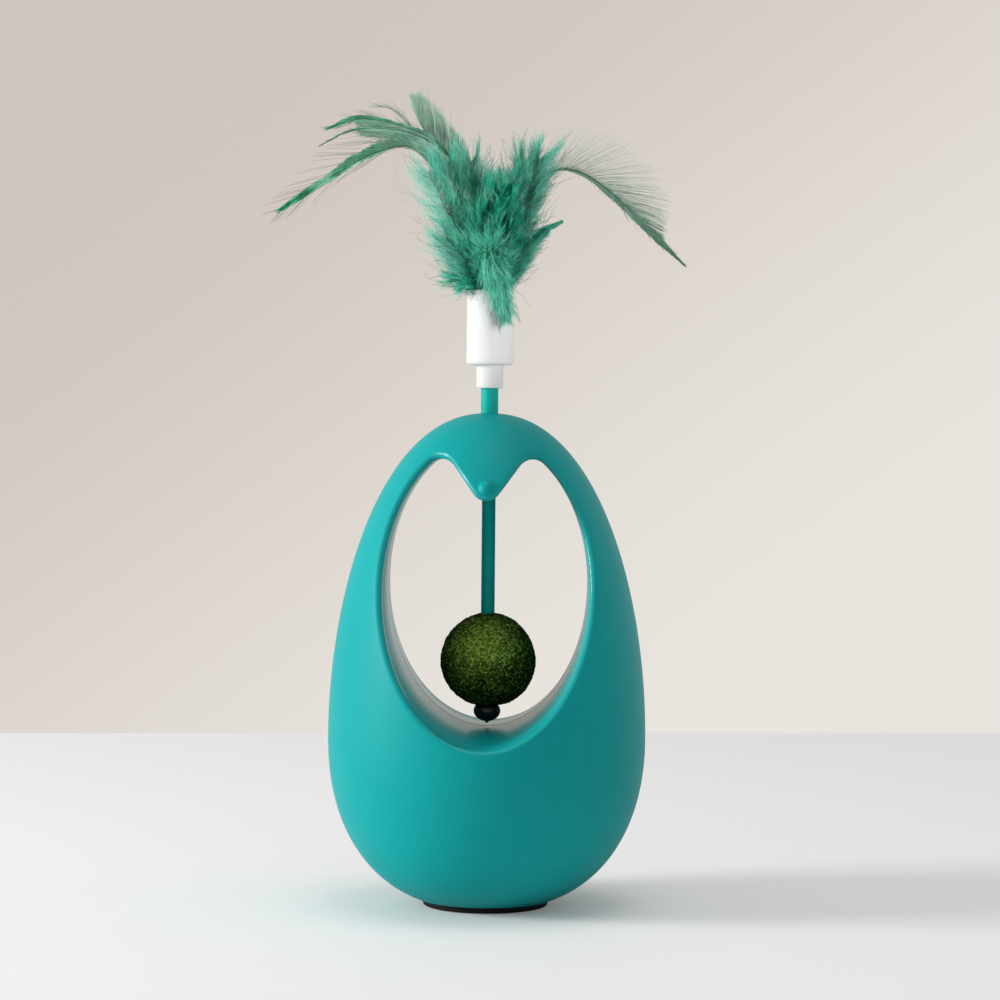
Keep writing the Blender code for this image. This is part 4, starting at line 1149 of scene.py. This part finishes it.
def feather_tree():
    """Geometry nodes that grow a feather on a spine: quill, barbs and, on down, barbules."""
    inputs = {
        "Geometry": ("Spine",),
        "Int": ("Barbs", "Barbules", "Seed"),
        "Float": (*SHARED_INPUTS, "Thickness", "Quill radius", "Barbule length"),
        "Bool": ("Fluffy",),
        "Material": ("Finish",),
    }
    work, take, names = node_group("Feather", inputs)
    ruffle, strays = take["Ruffle"], take["Strays"]
    vector_kind = "FLOAT_VECTOR"

    def geo(kind, sockets=None, output=0, **settings):
        return work.node("GeometryNode" + kind, settings, sockets, output)

    def named(name, kind="FLOAT"):
        return geo("InputNamedAttribute", {"Name": name}, "Attribute", data_type=kind)

    def store(geometry, kind="FLOAT", **values):
        for name, value in values.items():
            sockets = {"Geometry": geometry, "Name": name, "Value": value}
            geometry = geo("StoreNamedAttribute", sockets, data_type=kind, domain="POINT")
        return geometry

    def random(low, high, seed, kind="FLOAT"):
        sockets = {"Min": low, "Max": high, "Seed": take["Seed"] + seed}
        return work.node("FunctionNodeRandomValue", {"data_type": kind}, sockets, "Value")

    def split(vector):
        return work.node("ShaderNodeSeparateXYZ", None, {"Vector": vector}, ("X", "Y", "Z"))

    def scaled(vector, factor):
        return work.node("ShaderNodeVectorMath", {"operation": "SCALE"}, {0: vector, "Scale": factor})

    def total(*vectors):
        result = vectors[0]
        for vector in vectors[1:]:
            result = work.vector("ADD", result, vector)
        return result

    def square_to(first, second):
        return work.vector("NORMALIZE", work.vector("CROSS_PRODUCT", first, second))

    def tube(curve, sides, radius, scale):
        ring = geo("CurvePrimitiveCircle", {"Resolution": sides, "Radius": radius})
        return geo("CurveToMesh", {"Curve": curve, "Profile Curve": ring, "Scale": scale, "Fill Caps": True})

    def spread(curve, count):
        return geo("CurveToPoints", {"Curve": curve, "Count": count}, ("Points", "Tangent"), mode="COUNT")

    # Quill
    spine = geo("MeshToCurve", {"Mesh": take["Spine"]})
    share = geo("SplineParameter", None, "Factor")
    quill = tube(spine, 7, take["Quill radius"], 1.0 - share * 0.86)
    quill = store(quill, stray=0.8, along=0.0)

    # Roots of the barbs, one side after the other
    dressed = geo("TrimCurve", {"Curve": spine, "Start": take["Bare"], "End": 1.0}, mode="FACTOR")
    roots, heading = spread(dressed, take["Barbs"])
    index = geo("InputIndex")
    here = geo("InputPosition")
    roots = store(roots, vector_kind, root=here, heading=heading)
    roots = store(roots, side=index.math("MODULO", index, 2.0) * 2.0 - 1.0, shade=random(0.0, 1.0, 1))
    roots = store(roots, vector_kind, jitter=random((-1.0,) * 3, (1.0,) * 3, 2, vector_kind))
    roots = store(roots, stray=strays.math("GREATER_THAN", strays, random(0.0, 1.0, 3)))
    which = (named("side") + 1.0) * 0.5
    for key in SIDE_UNITS:
        roots = store(roots, **{key: named("near_" + key) * which + named("far_" + key) * (1.0 - which)})

    # Barbs
    line = geo("MeshLine", {"Count": BARB_STEPS, "Offset": (1, 0, 0)}, mode="OFFSET")
    line = store(line, along=index / (BARB_STEPS - 1))
    barbs = geo("InstanceOnPoints", {"Points": roots, "Instance": line})
    barbs = geo("RealizeInstances", {"Geometry": barbs})
    travel, root = named("heading", vector_kind), named("root", vector_kind)
    across = square_to(travel, (0, 1, 0))
    front = work.vector("CROSS_PRODUCT", across, travel)
    lean, roll, stretch = split(named("jitter", vector_kind))
    stray, along = named("stray"), named("along")
    barbs = store(barbs, stretch=stretch)
    turn = named("angle") * (1.0 + lean * (0.03 + ruffle * 1.4)) + stray * 0.12
    tilt = roll * take["Puff"]
    outward = total(scaled(across, tilt.math("COSINE", tilt) * named("side")), scaled(front, tilt.math("SINE", tilt)))
    aim = total(scaled(outward, turn.math("SINE", turn)), scaled(travel, turn.math("COSINE", turn)))
    bend = take["Bend"] * along * along
    length = named("reach") * (1.0 + stretch * (0.04 + ruffle * 1.7)) * (1.0 + stray * (take["Stray reach"] - 1.0))
    path = total(scaled(aim, (along - bend) * length), scaled(travel, bend * length))
    seed = work.vector("ADD", scaled(root, 420.0), work.combine(along * 1.2, named("shade") * 0.5, 0.0))
    wave = work.node("ShaderNodeTexNoise", None, {"Vector": seed, "Scale": 1.0, "Detail": 1.0}, "Color")
    wave = work.vector("SUBTRACT", wave, (0.5, 0.5, 0.5))
    drift = scaled(wave, ruffle * along * length * 2.0 * (1.0 + stray))
    barbs = geo("SetPosition", {"Geometry": barbs, "Position": total(root, path, drift)})
    strands = geo("MeshToCurve", {"Mesh": barbs})
    thin = named("width") * (1.0 - share * take["Taper"]) * (1.0 - stray * 0.5)
    thin = thin * (1.0 - named("stretch") * ruffle * 2.2)
    fibres = store(tube(strands, 3, take["Thickness"], thin), downy=take["Fluffy"])

    # Barbules
    tufts, course = spread(strands, take["Barbules"])
    sockets = {"Vertices": 3, "Radius Top": 0.0, "Radius Bottom": 1.0, "Depth": 1.0}
    spike = store(geo("MeshCone", sockets, "Mesh"), soft=split(here)[2] * 0.5 + 0.5)
    side_way = square_to(course, random((-1.0,) * 3, (1.0,) * 3, 4, vector_kind))
    way = work.vector("ADD", scaled(side_way, 0.42), course)
    turned_to = work.node("FunctionNodeAlignRotationToVector", {"axis": "Z"}, {"Vector": way})
    fine = take["Thickness"] * BARBULE_RADIUS
    size = work.combine(fine, fine, take["Barbule length"] * random(0.5, 1.2, 5))
    sockets = {"Points": tufts, "Selection": take["Fluffy"], "Instance": spike, "Rotation": turned_to, "Scale": size}
    fluff = geo("InstanceOnPoints", sockets)
    close_group(work, geo("JoinGeometry", {"Geometry": [quill, fibres, fluff]}), take["Finish"])
    return work.tree, names


def feather_spine(feather, sizes):
    """The feather's spines as chains of points that carry how their barbs stand."""
    scale = np.array([sizes.reach, sizes.depth, sizes.rise])
    path, edges, shares = [], [], []
    for share, *places in feather.spines:
        points = [np.array(place) / 1000 * scale + np.array([0, 0, CUP_HIGH.z]) for place in places]
        foot = points[0].copy()
        foot[2] = PLUG_HIGH.z + HAIR_GAP
        edges += [(len(path) + i, len(path) + i + 1) for i in range(SPINE_POINTS - 1)]
        path += smooth_path([foot, *points], SPINE_POINTS).tolist()
        shares += [share] * SPINE_POINTS
    mesh = bpy.data.meshes.new(feather.name)
    mesh.from_pydata(path, edges, [])
    for side, shape in (("near", feather.near), ("far", feather.far or feather.near)):
        for key, unit in SIDE_UNITS.items():
            values = getattr(shape, key)
            places = np.linspace(feather.bare, 1, len(values))
            spread = np.tile(np.interp(np.linspace(0, 1, SPINE_POINTS), places, values), len(feather.spines)) * unit
            if key == "reach":
                spread *= shares
            attribute = mesh.attributes.new(f"{side}_{key}", "FLOAT", "POINT")
            attribute.data.foreach_set("value", spread.astype(np.float32))
    return mesh


def grow_feather(feather, sizes, tree, names, finish):
    obj = new_object(feather.name + "_barbs", feather_spine(feather, sizes))
    values = {name: getattr(feather, name.lower().replace(" ", "_")) for name in SHARED_INPUTS}
    values |= {
        "Barbs": round(feather.barbs * sizes.fullness), "Thickness": sizes.thickness,
        "Quill radius": feather.quill / 1000, "Barbule length": feather.fluff / 1000,
        "Barbules": max(1, feather.barbules), "Fluffy": feather.barbules > 0,
        "Seed": sizes.seed + 7 * FEATHERS.index(feather), "Finish": finish,
    }
    mesh = run_tree(obj, tree, names, values)
    if not mesh.polygons:
        raise RuntimeError(f"{feather.name} grew no barbs")
    mesh.shade_smooth()
    return obj


# Operators, in the order in which the toy is put together


def settings_of(context):
    return context.scene.cat_toy


class CATTOY_OT_shells(Operator):
    """Build the two halves of the egg, with the window, the seam and the screw wells"""

    bl_idname = "cat_toy.shells"
    bl_label = "Shells"

    def execute(self, context):
        toy = settings_of(context)
        finish = shell_finish("teal_satin_shell", toy.colours.shell)
        rear_flare = 1.0
        for node, flare in (("front_shell", toy.window.side_flare), ("rear_shell", rear_flare)):
            name = node + "_skin"
            mesh = finished_mesh(name, half_shell(toy.egg, toy.window, flare))
            tools = [stem_bore(toy.pendulum, toy.top, toy.egg), eye_slot(toy.pendulum, toy.window)]
            if node == "rear_shell":
                mesh.transform(Matrix.Diagonal((1, -1, 1, 1)))
                mesh.flip_normals()
                tools += [screw_well(screw) for screw in SCREW_NODES]
            shell = new_object(name, mesh, finish)
            carve(shell, tools)
            place_piece(shell, "housing", "shell", node)
        return {"FINISHED"}


class CATTOY_OT_foot(Operator):
    """Build the rubber foot and finish the counterweight above it"""

    bl_idname = "cat_toy.foot"
    bl_label = "Foot"

    def execute(self, context):
        colours = settings_of(context).colours
        radius, top = PAD_RADIUS, FLAT_HEIGHT - 0.0001
        profile = rounded([(0, top), (radius, top), (radius, 0), (0, 0)], {1: 0.0002, 2: 0.0005})
        rubber = rubber_finish("black_rubber", colours.rubber)
        turned_piece("foot_pad", profile, 128, rubber, ("housing", "foot_rubber", "base_pad"))
        finish_node("counterweight", steel_finish("zinc_steel", colours.steel))
        return {"FINISHED"}


class CATTOY_OT_screws(Operator):
    """Repeat one cross-recessed screw in the four wells"""

    bl_idname = "cat_toy.screws"
    bl_label = "Screws"

    def execute(self, context):
        low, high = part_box(SCREW_NODES[0])
        head, crown = (high.x - low.x) / 2, high.y
        neck, shank, point = crown - 0.0016, 0.0012, 0.001
        edge = head * 0.35
        profile = [(0, crown), *arc(edge, math.pi / 2, 0, 6, (head * 0.65, crown - edge)), (head, neck)]
        profile += [(shank, neck), (shank, low.y + point), (0, low.y)]
        master = new_object("screw_master", finished_mesh("screw_master", turned(bmesh.new(), profile, 40)))
        slots = []
        for turn_by in (math.pi / 4, -math.pi / 4):
            solid = bmesh.new()
            bmesh.ops.create_cube(solid, size=1)
            shape = Matrix.Rotation(turn_by, 4, "Z") @ Matrix.Diagonal((head * 1.25, head * 0.3, head * 0.7, 1))
            bmesh.ops.transform(solid, verts=solid.verts, matrix=Matrix.Translation((0, 0, crown)) @ shape)
            slots.append(new_object("cutter", finished_mesh("cutter", solid)))
        carve(master, slots)
        points = bpy.data.meshes.new("shell_screws")
        points.from_pydata([(x, 0, z) for x, z in map(screw_centre, SCREW_NODES)], [], [])
        obj = new_object("shell_screws", points)
        finish = steel_finish("zinc_screw", settings_of(context).colours.steel)
        mesh = run_tree(obj, *screw_tree(), {"Screw": master, "Finish": finish})
        bpy.data.objects.remove(master, do_unlink=True)
        mesh.set_sharp_from_angle(angle=SMOOTH_ANGLE)
        place_piece(obj, "housing", "screw_steel", *SCREW_NODES)
        return {"FINISHED"}


def screw_tree():
    """Geometry nodes that put a screw on each point, turned to the rear and by its own angle."""
    inputs = {"Geometry": ("Places",), "Object": ("Screw",), "Material": ("Finish",)}
    work, take, names = node_group("Screws", inputs)
    screw = work.node("GeometryNodeObjectInfo", None, {"Object": take["Screw"]}, "Geometry")
    spin = work.node("FunctionNodeRandomValue", {"data_type": "FLOAT"}, {"Min": 0.0, "Max": 6.28, "Seed": 5}, "Value")
    turn_to = work.node("FunctionNodeEulerToRotation", None, {0: work.combine(-math.pi / 2, 0.0, 0.0)})
    own = work.node("FunctionNodeAxisAngleToRotation", None, {"Axis": (0, 0, 1), "Angle": spin})
    both = work.node("FunctionNodeRotateRotation", {"rotation_space": "LOCAL"}, {"Rotation": turn_to, "Rotate By": own})
    sockets = {"Points": take["Places"], "Instance": screw, "Rotation": both}
    close_group(work, work.node("GeometryNodeInstanceOnPoints", None, sockets), take["Finish"])
    return work.tree, names


class CATTOY_OT_pin(Operator):
    """Build the pivot pin with its domed head, and the cap on its rear end"""

    bl_idname = "cat_toy.pin"
    bl_label = "Pin"

    def execute(self, context):
        toy = settings_of(context)
        sizes = toy.pendulum
        finish = shell_finish("teal_pin", toy.colours.shell, 0.08)
        middle = toy.window.pivot_height - sizes.pin_head_drop
        centre = float(egg_radius(toy.egg, middle)) - sizes.pin_head_sink
        end = centre + sizes.pin_head_radius - 0.0012
        gap = sizes.fit_gap
        for name, radius, foot, way in (
            ("pivot_pin", sizes.pin_radius, -end, FRONT),
            ("pin_cap", sizes.pin_radius + gap, end + gap, REAR),
        ):
            meet = math.acos(radius / sizes.pin_head_radius)
            dome = arc(sizes.pin_head_radius, math.pi / 2, -meet, 18, (0.0, centre))
            profile = [(0, dome[0][1]), *dome[1:], (radius, foot), (0, foot)]
            home = ("housing", "pin_plastic", name)
            turned_piece(name + "_head", profile, 64, finish, home, laid(0, middle, way))
        return {"FINISHED"}


class CATTOY_OT_pendulum(Operator):
    """Build the rod with its eye and nib, and the bead at its end"""

    bl_idname = "cat_toy.pendulum"
    bl_label = "Rod and bead"

    def execute(self, context):
        toy = settings_of(context)
        sizes = toy.pendulum
        pivot = toy.window.pivot_height
        rod, nib, tip = sizes.rod_radius, sizes.nib_radius, ROD_LOW.z
        top, foot = pivot - 0.0020, BEAD_LOW.z + 0.0008
        points = [(0, top), (rod, top), (rod, foot), (nib, foot), (nib, tip), (0, tip)]
        solid = turned(bmesh.new(), rounded(points, {2: 0.0003, 4: 0.0003}), 40)
        eye, half, hole = sizes.eye_radius, sizes.eye_thickness / 2, sizes.pin_radius + sizes.fit_gap
        ring = rounded(
            [(hole, half), (eye, half), (eye, -half), (hole, -half)], {0: 0.0002, 1: 0.0003, 2: 0.0003, 3: 0.0002}
        )
        turned(solid, ring, 48, laid(0, pivot, REAR), closed=True)
        finish = gloss_finish("teal_rod", toy.colours.rod, 0.38, 0.1)
        obj = new_object("swing_rod_body", finished_mesh("swing_rod_body", solid), finish)
        place_piece(obj, "pendulum", "rod_plastic", "swing_rod")
        middle = (BEAD_LOW.z + BEAD_HIGH.z) / 2
        angles = np.linspace(math.pi / 2, -math.pi / 2, 33)
        profile = [(BEAD_HIGH.x * math.cos(a), middle + sizes.bead_half_height * math.sin(a)) for a in angles]
        profile = [(0, profile[0][1]), *profile[1:-1], (0, profile[-1][1])]
        finish = gloss_finish("green_black_bead", toy.colours.bead, 0.30)
        turned_piece("stop_bead_body", profile, 64, finish, ("pendulum", "bead_plastic", "stop_bead"))
        return {"FINISHED"}


class CATTOY_OT_ball(Operator):
    """Build the pressed catnip ball with its grain, and finish the tube inside it"""

    bl_idname = "cat_toy.ball"
    bl_label = "Catnip ball"

    def execute(self, context):
        toy = settings_of(context)
        colours = toy.colours
        mesh = finished_mesh("catnip_ball_leaf", pressed_ball(toy.pendulum), LEAF_ANGLE)
        leaf = leaf_finish("pressed_leaf", colours.leaf_dark, colours.leaf_light)
        place_piece(new_object("catnip_ball_leaf", mesh, leaf), "ball", "catnip", "catnip_ball")
        finish_node("ball_core", resin_finish("tube_resin", colours.resin))
        return {"FINISHED"}


def pressed_ball(sizes):
    """The ball on its bore: a lumpy sphere with grain and a painted highlight, a hollow for the bead and a lined bore.
    """
    radius, height, gap = sizes.ball_radius, sizes.ball_height, sizes.fit_gap
    bore, wide = sizes.rod_radius + 0.00035, CORE_HIGH.x + gap
    hollow_radius, hollow_half = BEAD_HIGH.x + gap, sizes.bead_half_height + gap
    bead = (BEAD_LOW.z + BEAD_HIGH.z) / 2 - height
    for end in np.linspace(-math.pi / 2, 0, 4000):
        x, z = radius * math.cos(end), radius * math.sin(end)
        if (x / hollow_radius) ** 2 + ((z - bead) / hollow_half) ** 2 > 1:
            break
    outer = arc(radius, math.acos(bore / radius), end, 150)
    begin = math.asin(max(-1, min(1, (outer[-1][1] - bead) / hollow_half)))
    angles = np.linspace(begin, math.acos(wide / hollow_radius), 14)[1:]
    hollow = [(hollow_radius * math.cos(a), bead + hollow_half * math.sin(a)) for a in angles]
    low, high = CORE_LOW.z - height - HAIR_GAP, CORE_HIGH.z - height + HAIR_GAP
    inner = [(wide, high), (bore, high)]
    if low > hollow[-1][1]:
        inner.insert(0, (wide, low))
    centre = Vector((0, 0, height))
    solid = turned(bmesh.new(), outer + hollow + inner, 320, Matrix.Translation(centre), closed=True)
    # The third way points to the ball's front upper left, where a highlight is painted into the colour.
    bulge, flat, highlight_way = (
        Vector(way).normalized() for way in ((0.8, -0.3, -0.5), (-0.6, -0.4, 0.7), (-0.12, -0.86, 0.42))
    )
    # Painted highlight: each point's share of it, strongest towards the front upper left.
    rubbed = solid.verts.layers.float.new("rubbed")
    for vert in solid.verts:
        offset = vert.co - centre
        direction = offset.normalized()
        vert[rubbed] = max(0, direction.dot(highlight_way)) ** 2.2
        if offset.length < radius - 0.00002:
            continue
        swell = max(0, direction.dot(bulge)) ** 3 - max(0, direction.dot(flat)) ** 4
        edge = bore if offset.z > 0 else hollow_radius
        fade = min(1, max(0, (math.hypot(offset.x, offset.y) - edge) / 0.0012))
        flake = noise.noise(offset * 2400) + 0.7 * noise.noise(offset * 1150) + 0.8 * noise.noise(offset * 420)
        pit = noise.voronoi(offset * 900)[0][0]
        grain = sizes.grain * (0.45 * flake + 0.7 * (pit - 0.4))
        vert.co = centre + direction * (radius + fade * (sizes.ball_lump * swell + grain))
    return solid


class CATTOY_OT_top(Operator):
    """Build the stem and the stepped cup, and finish the plug in the cup"""

    bl_idname = "cat_toy.top"
    bl_label = "Stem and cup"

    def execute(self, context):
        toy = settings_of(context)
        sizes, colours, gap = toy.top, toy.colours, toy.pendulum.fit_gap
        low, high, flange = STEM_LOW.z, STEM_HIGH.z, STEM_LOW.z + sizes.flange_thickness
        stem, wide = sizes.stem_radius, sizes.flange_radius
        points = [(0, high), (stem, high), (stem, flange), (wide, flange), (wide, low), (0, low)]
        profile = rounded(points, {1: 0.0004, 3: 0.0002, 4: 0.0002})
        finish = shell_finish("teal_stem", colours.stem)
        turned_piece("feather_stem_body", profile, 56, finish, ("stem", "stem_plastic", "feather_stem"))
        socket, socket_top = stem + gap, high + gap
        web = PLUG_LOW.z - gap
        outer, neck = sizes.cup_radius, sizes.neck_radius
        inner, shoulder = outer - sizes.cup_wall, CUP_LOW.z + sizes.neck_length
        points = [(0, web), (inner, web), (inner, CUP_HIGH.z), (outer, CUP_HIGH.z), (outer, shoulder)]
        points += [(neck, shoulder), (neck, CUP_LOW.z), (socket, CUP_LOW.z), (socket, socket_top), (0, socket_top)]
        profile = rounded(points, {2: 0.0003, 3: 0.0004, 4: sizes.cup_round, 5: 0.0004, 6: 0.0003, 7: 0.0002})
        finish = cup_finish("white_gloss_cup", colours.cup)
        turned_piece("feather_cup_body", profile, 112, finish, ("feather_top", "cup_plastic", "feather_cup"))
        finish_node("quill_plug", resin_finish("plug_resin", colours.resin))
        return {"FINISHED"}


class CATTOY_OT_feathers(Operator):
    """Grow every feather's barbs on its spine"""

    bl_idname = "cat_toy.feathers"
    bl_label = "Feathers"

    def execute(self, context):
        toy = settings_of(context)
        tree, names = feather_tree()
        finishes = {}
        for slot in ("vane", "down"):
            dyes_and_painted_light = [getattr(toy.colours, f"{slot}_{tone}") for tone in ("dark", "light", "pale")]
            finishes[slot] = feather_finish("dyed_" + slot, *dyes_and_painted_light, toy.colours.quill)
        for feather in FEATHERS:
            obj = grow_feather(feather, toy.feathers, tree, names, finishes[feather.slot])
            place_piece(obj, "feather_top", feather.slot, feather.name)
        bpy.data.node_groups.remove(tree)
        return {"FINISHED"}


class CATTOY_OT_stage(Operator):
    """Set the table, the backdrop, the lamps and the camera"""

    bl_idname = "cat_toy.stage"
    bl_label = "Stage"

    def execute(self, context):
        stage = settings_of(context).stage
        scene = context.scene
        make_camera(scene, stage)
        make_table(scene.camera, stage)
        make_world(stage)
        egg, warm = (0, 0, 0.08), (1.0, 0.99, 0.975)
        make_lamp("key_lamp", "AREA", (-1.33, -0.27, 0.44), egg, energy=stage.key_power, size=0.45, color=warm)
        make_lamp("top_lamp", "AREA", (0.1, -0.1, 1.45), egg, energy=stage.fill_power, size=0.8)
        make_spot("cup_lamp", (0.42, -0.68, 0.165), (0, 0, 0.1508), 0.0218, stage.cup_power)
        make_spot("feather_lamp", (0.64, -0.44, 0.40), (0.01, 0, 0.192), 0.045, stage.feather_power)
        scene.view_settings.view_transform = "Standard"
        return {"FINISHED"}


def table_point(camera, across, down):
    """Where the ray through a place in the picture, in thousandths, meets the table's top."""
    data = camera.data
    share = data.sensor_width / data.lens
    ray = Vector(((across / 1000 - 0.5 + data.shift_x) * share, (0.5 - down / 1000 + data.shift_y) * share, -1))
    ray = camera.rotation_euler.to_matrix() @ ray
    return camera.location - ray * (camera.location.z / ray.z)


def make_table(camera, stage):
    """A table whose far edge lies level in the picture."""
    top = [table_point(camera, across, stage.table_line) for across in (-2800, 3800)]
    top += [Vector((1.5, -1.5, 0)), Vector((-1.5, -1.5, 0))]
    mesh = prism("table", top, [point - Vector((0, 0, 0.03)) for point in top])
    work = Finish("pale_table", {"IOR": 1.45, "Specular IOR Level": 0.2, "Emission Strength": 1.0})
    cloud = work.grain(6, 3)
    seen = work.node("ShaderNodeLightPath", None, None, "Is Camera Ray")
    work.feed(work.shader.inputs["Emission Color"], work.mix(seen, (0.0, 0.0, 0.0), (stage.table_lift,) * 3))
    work.colour(work.mix(cloud, (0.845, 0.84, 0.845), (0.87, 0.865, 0.87)))
    work.rough(0.55 + cloud * 0.1)
    new_object("table", mesh, work.material)


def make_world(stage):
    """Plain pale light, and for what the eye and gloss see a backdrop that is darker towards the upper left, painted
    shade.
    """
    world = bpy.data.worlds.new("pale_room")
    world.use_nodes = True
    bpy.context.scene.world = world
    tree = world.node_tree
    work = NodeWork(tree)
    back = tree.nodes["Background"]
    way = work.node("ShaderNodeTexCoord", None, None, "Generated")
    x, _, z = work.node("ShaderNodeSeparateXYZ", None, {"Vector": way}, ("X", "Y", "Z"))
    # Painted shade: the backdrop darkens from the lower right towards the upper left.
    slope = (0.41 + z * 3.2 - x * 2.3).clamped()
    share = slope * slope * (3.0 - slope * 2.0)
    seen = work.mix(share, tuple(stage.backdrop_low), tuple(stage.backdrop_high))
    rays = work.node("ShaderNodeLightPath", None, None, ("Is Camera Ray", "Is Glossy Ray", "Is Transmission Ray"))
    shown = rays[0].math("MAXIMUM", rays[0].math("MAXIMUM", rays[0], rays[1]), rays[2])
    work.feed(back.inputs["Color"], work.mix(shown, (0.93, 0.93, 0.92), seen))
    work.feed(back.inputs["Strength"], shown * (1.0 - stage.sky_level) + stage.sky_level)


def make_lamp(name, kind, place, target, **settings):
    """A lamp at a place, turned to its target."""
    lamp = bpy.data.lights.new(name, kind)
    for key, value in settings.items():
        setattr(lamp, key, value)
    obj = new_object(name, lamp)
    obj.location = place
    obj.rotation_euler = (Vector(target) - Vector(place)).to_track_quat("-Z", "Y").to_euler()


def make_spot(name, place, target, reach, power):
    """A narrow soft lamp that lights what stands within reach of its target."""
    cone = 2 * math.atan(reach / (Vector(target) - Vector(place)).length)
    soft = {"spot_blend": 0.5, "shadow_soft_size": 0.012}
    make_lamp(name, "SPOT", place, target, energy=power, spot_size=cone, **soft)


def make_camera(scene, stage):
    """A camera before the toy, a little aside of its front and rolled by half a degree."""
    distance, height, slide, aside, roll = 0.790, 0.1296, 0.0033, math.radians(1.2), math.radians(0.5)
    camera = bpy.data.cameras.new("camera")
    camera.lens = stage.lens
    camera.sensor_width = 36
    camera.shift_x = -0.002
    camera.shift_y = -0.086
    camera.clip_start = 0.01
    obj = new_object("camera", camera)
    obj.location = (slide + distance * math.sin(aside), -distance * math.cos(aside), height)
    turn_to = Euler((math.pi / 2, 0, aside)).to_matrix() @ Matrix.Rotation(roll, 3, "Z")
    obj.rotation_euler = turn_to.to_euler()
    scene.camera = obj


STEPS = (
    CATTOY_OT_stage, CATTOY_OT_shells, CATTOY_OT_foot, CATTOY_OT_screws, CATTOY_OT_pin,
    CATTOY_OT_pendulum, CATTOY_OT_ball, CATTOY_OT_top, CATTOY_OT_feathers,
)


class CATTOY_PT_panel(Panel):
    """Lists the toy's sizes and the steps that build it"""

    bl_idname = "CATTOY_PT_panel"
    bl_label = "Tumbler Cat Toy"
    bl_space_type = "VIEW_3D"
    bl_region_type = "UI"
    bl_category = "Cat Toy"

    def draw(self, context):
        toy = settings_of(context)
        for group in (toy.egg, toy.window, toy.pendulum, toy.top, toy.feathers, toy.colours, toy.stage):
            box = self.layout.box()
            for name in group.__annotations__:
                box.prop(group, name)
        for step in STEPS:
            self.layout.operator(step.bl_idname)


CLASSES = (
    EggSizes, WindowSizes, PendulumSizes, TopSizes, FeatherSizes, Colours, StageSettings, ToySettings,
    *STEPS, CATTOY_PT_panel,
)


def register():
    for cls in CLASSES:
        bpy.utils.register_class(cls)
    bpy.types.Scene.cat_toy = PointerProperty(type=ToySettings)


def unregister():
    del bpy.types.Scene.cat_toy
    for cls in reversed(CLASSES):
        bpy.utils.unregister_class(cls)


def main():
    register()
    for step in STEPS:
        group, name = step.bl_idname.split(".")
        getattr(getattr(bpy.ops, group), name)()


if __name__ == "__main__":
    main()
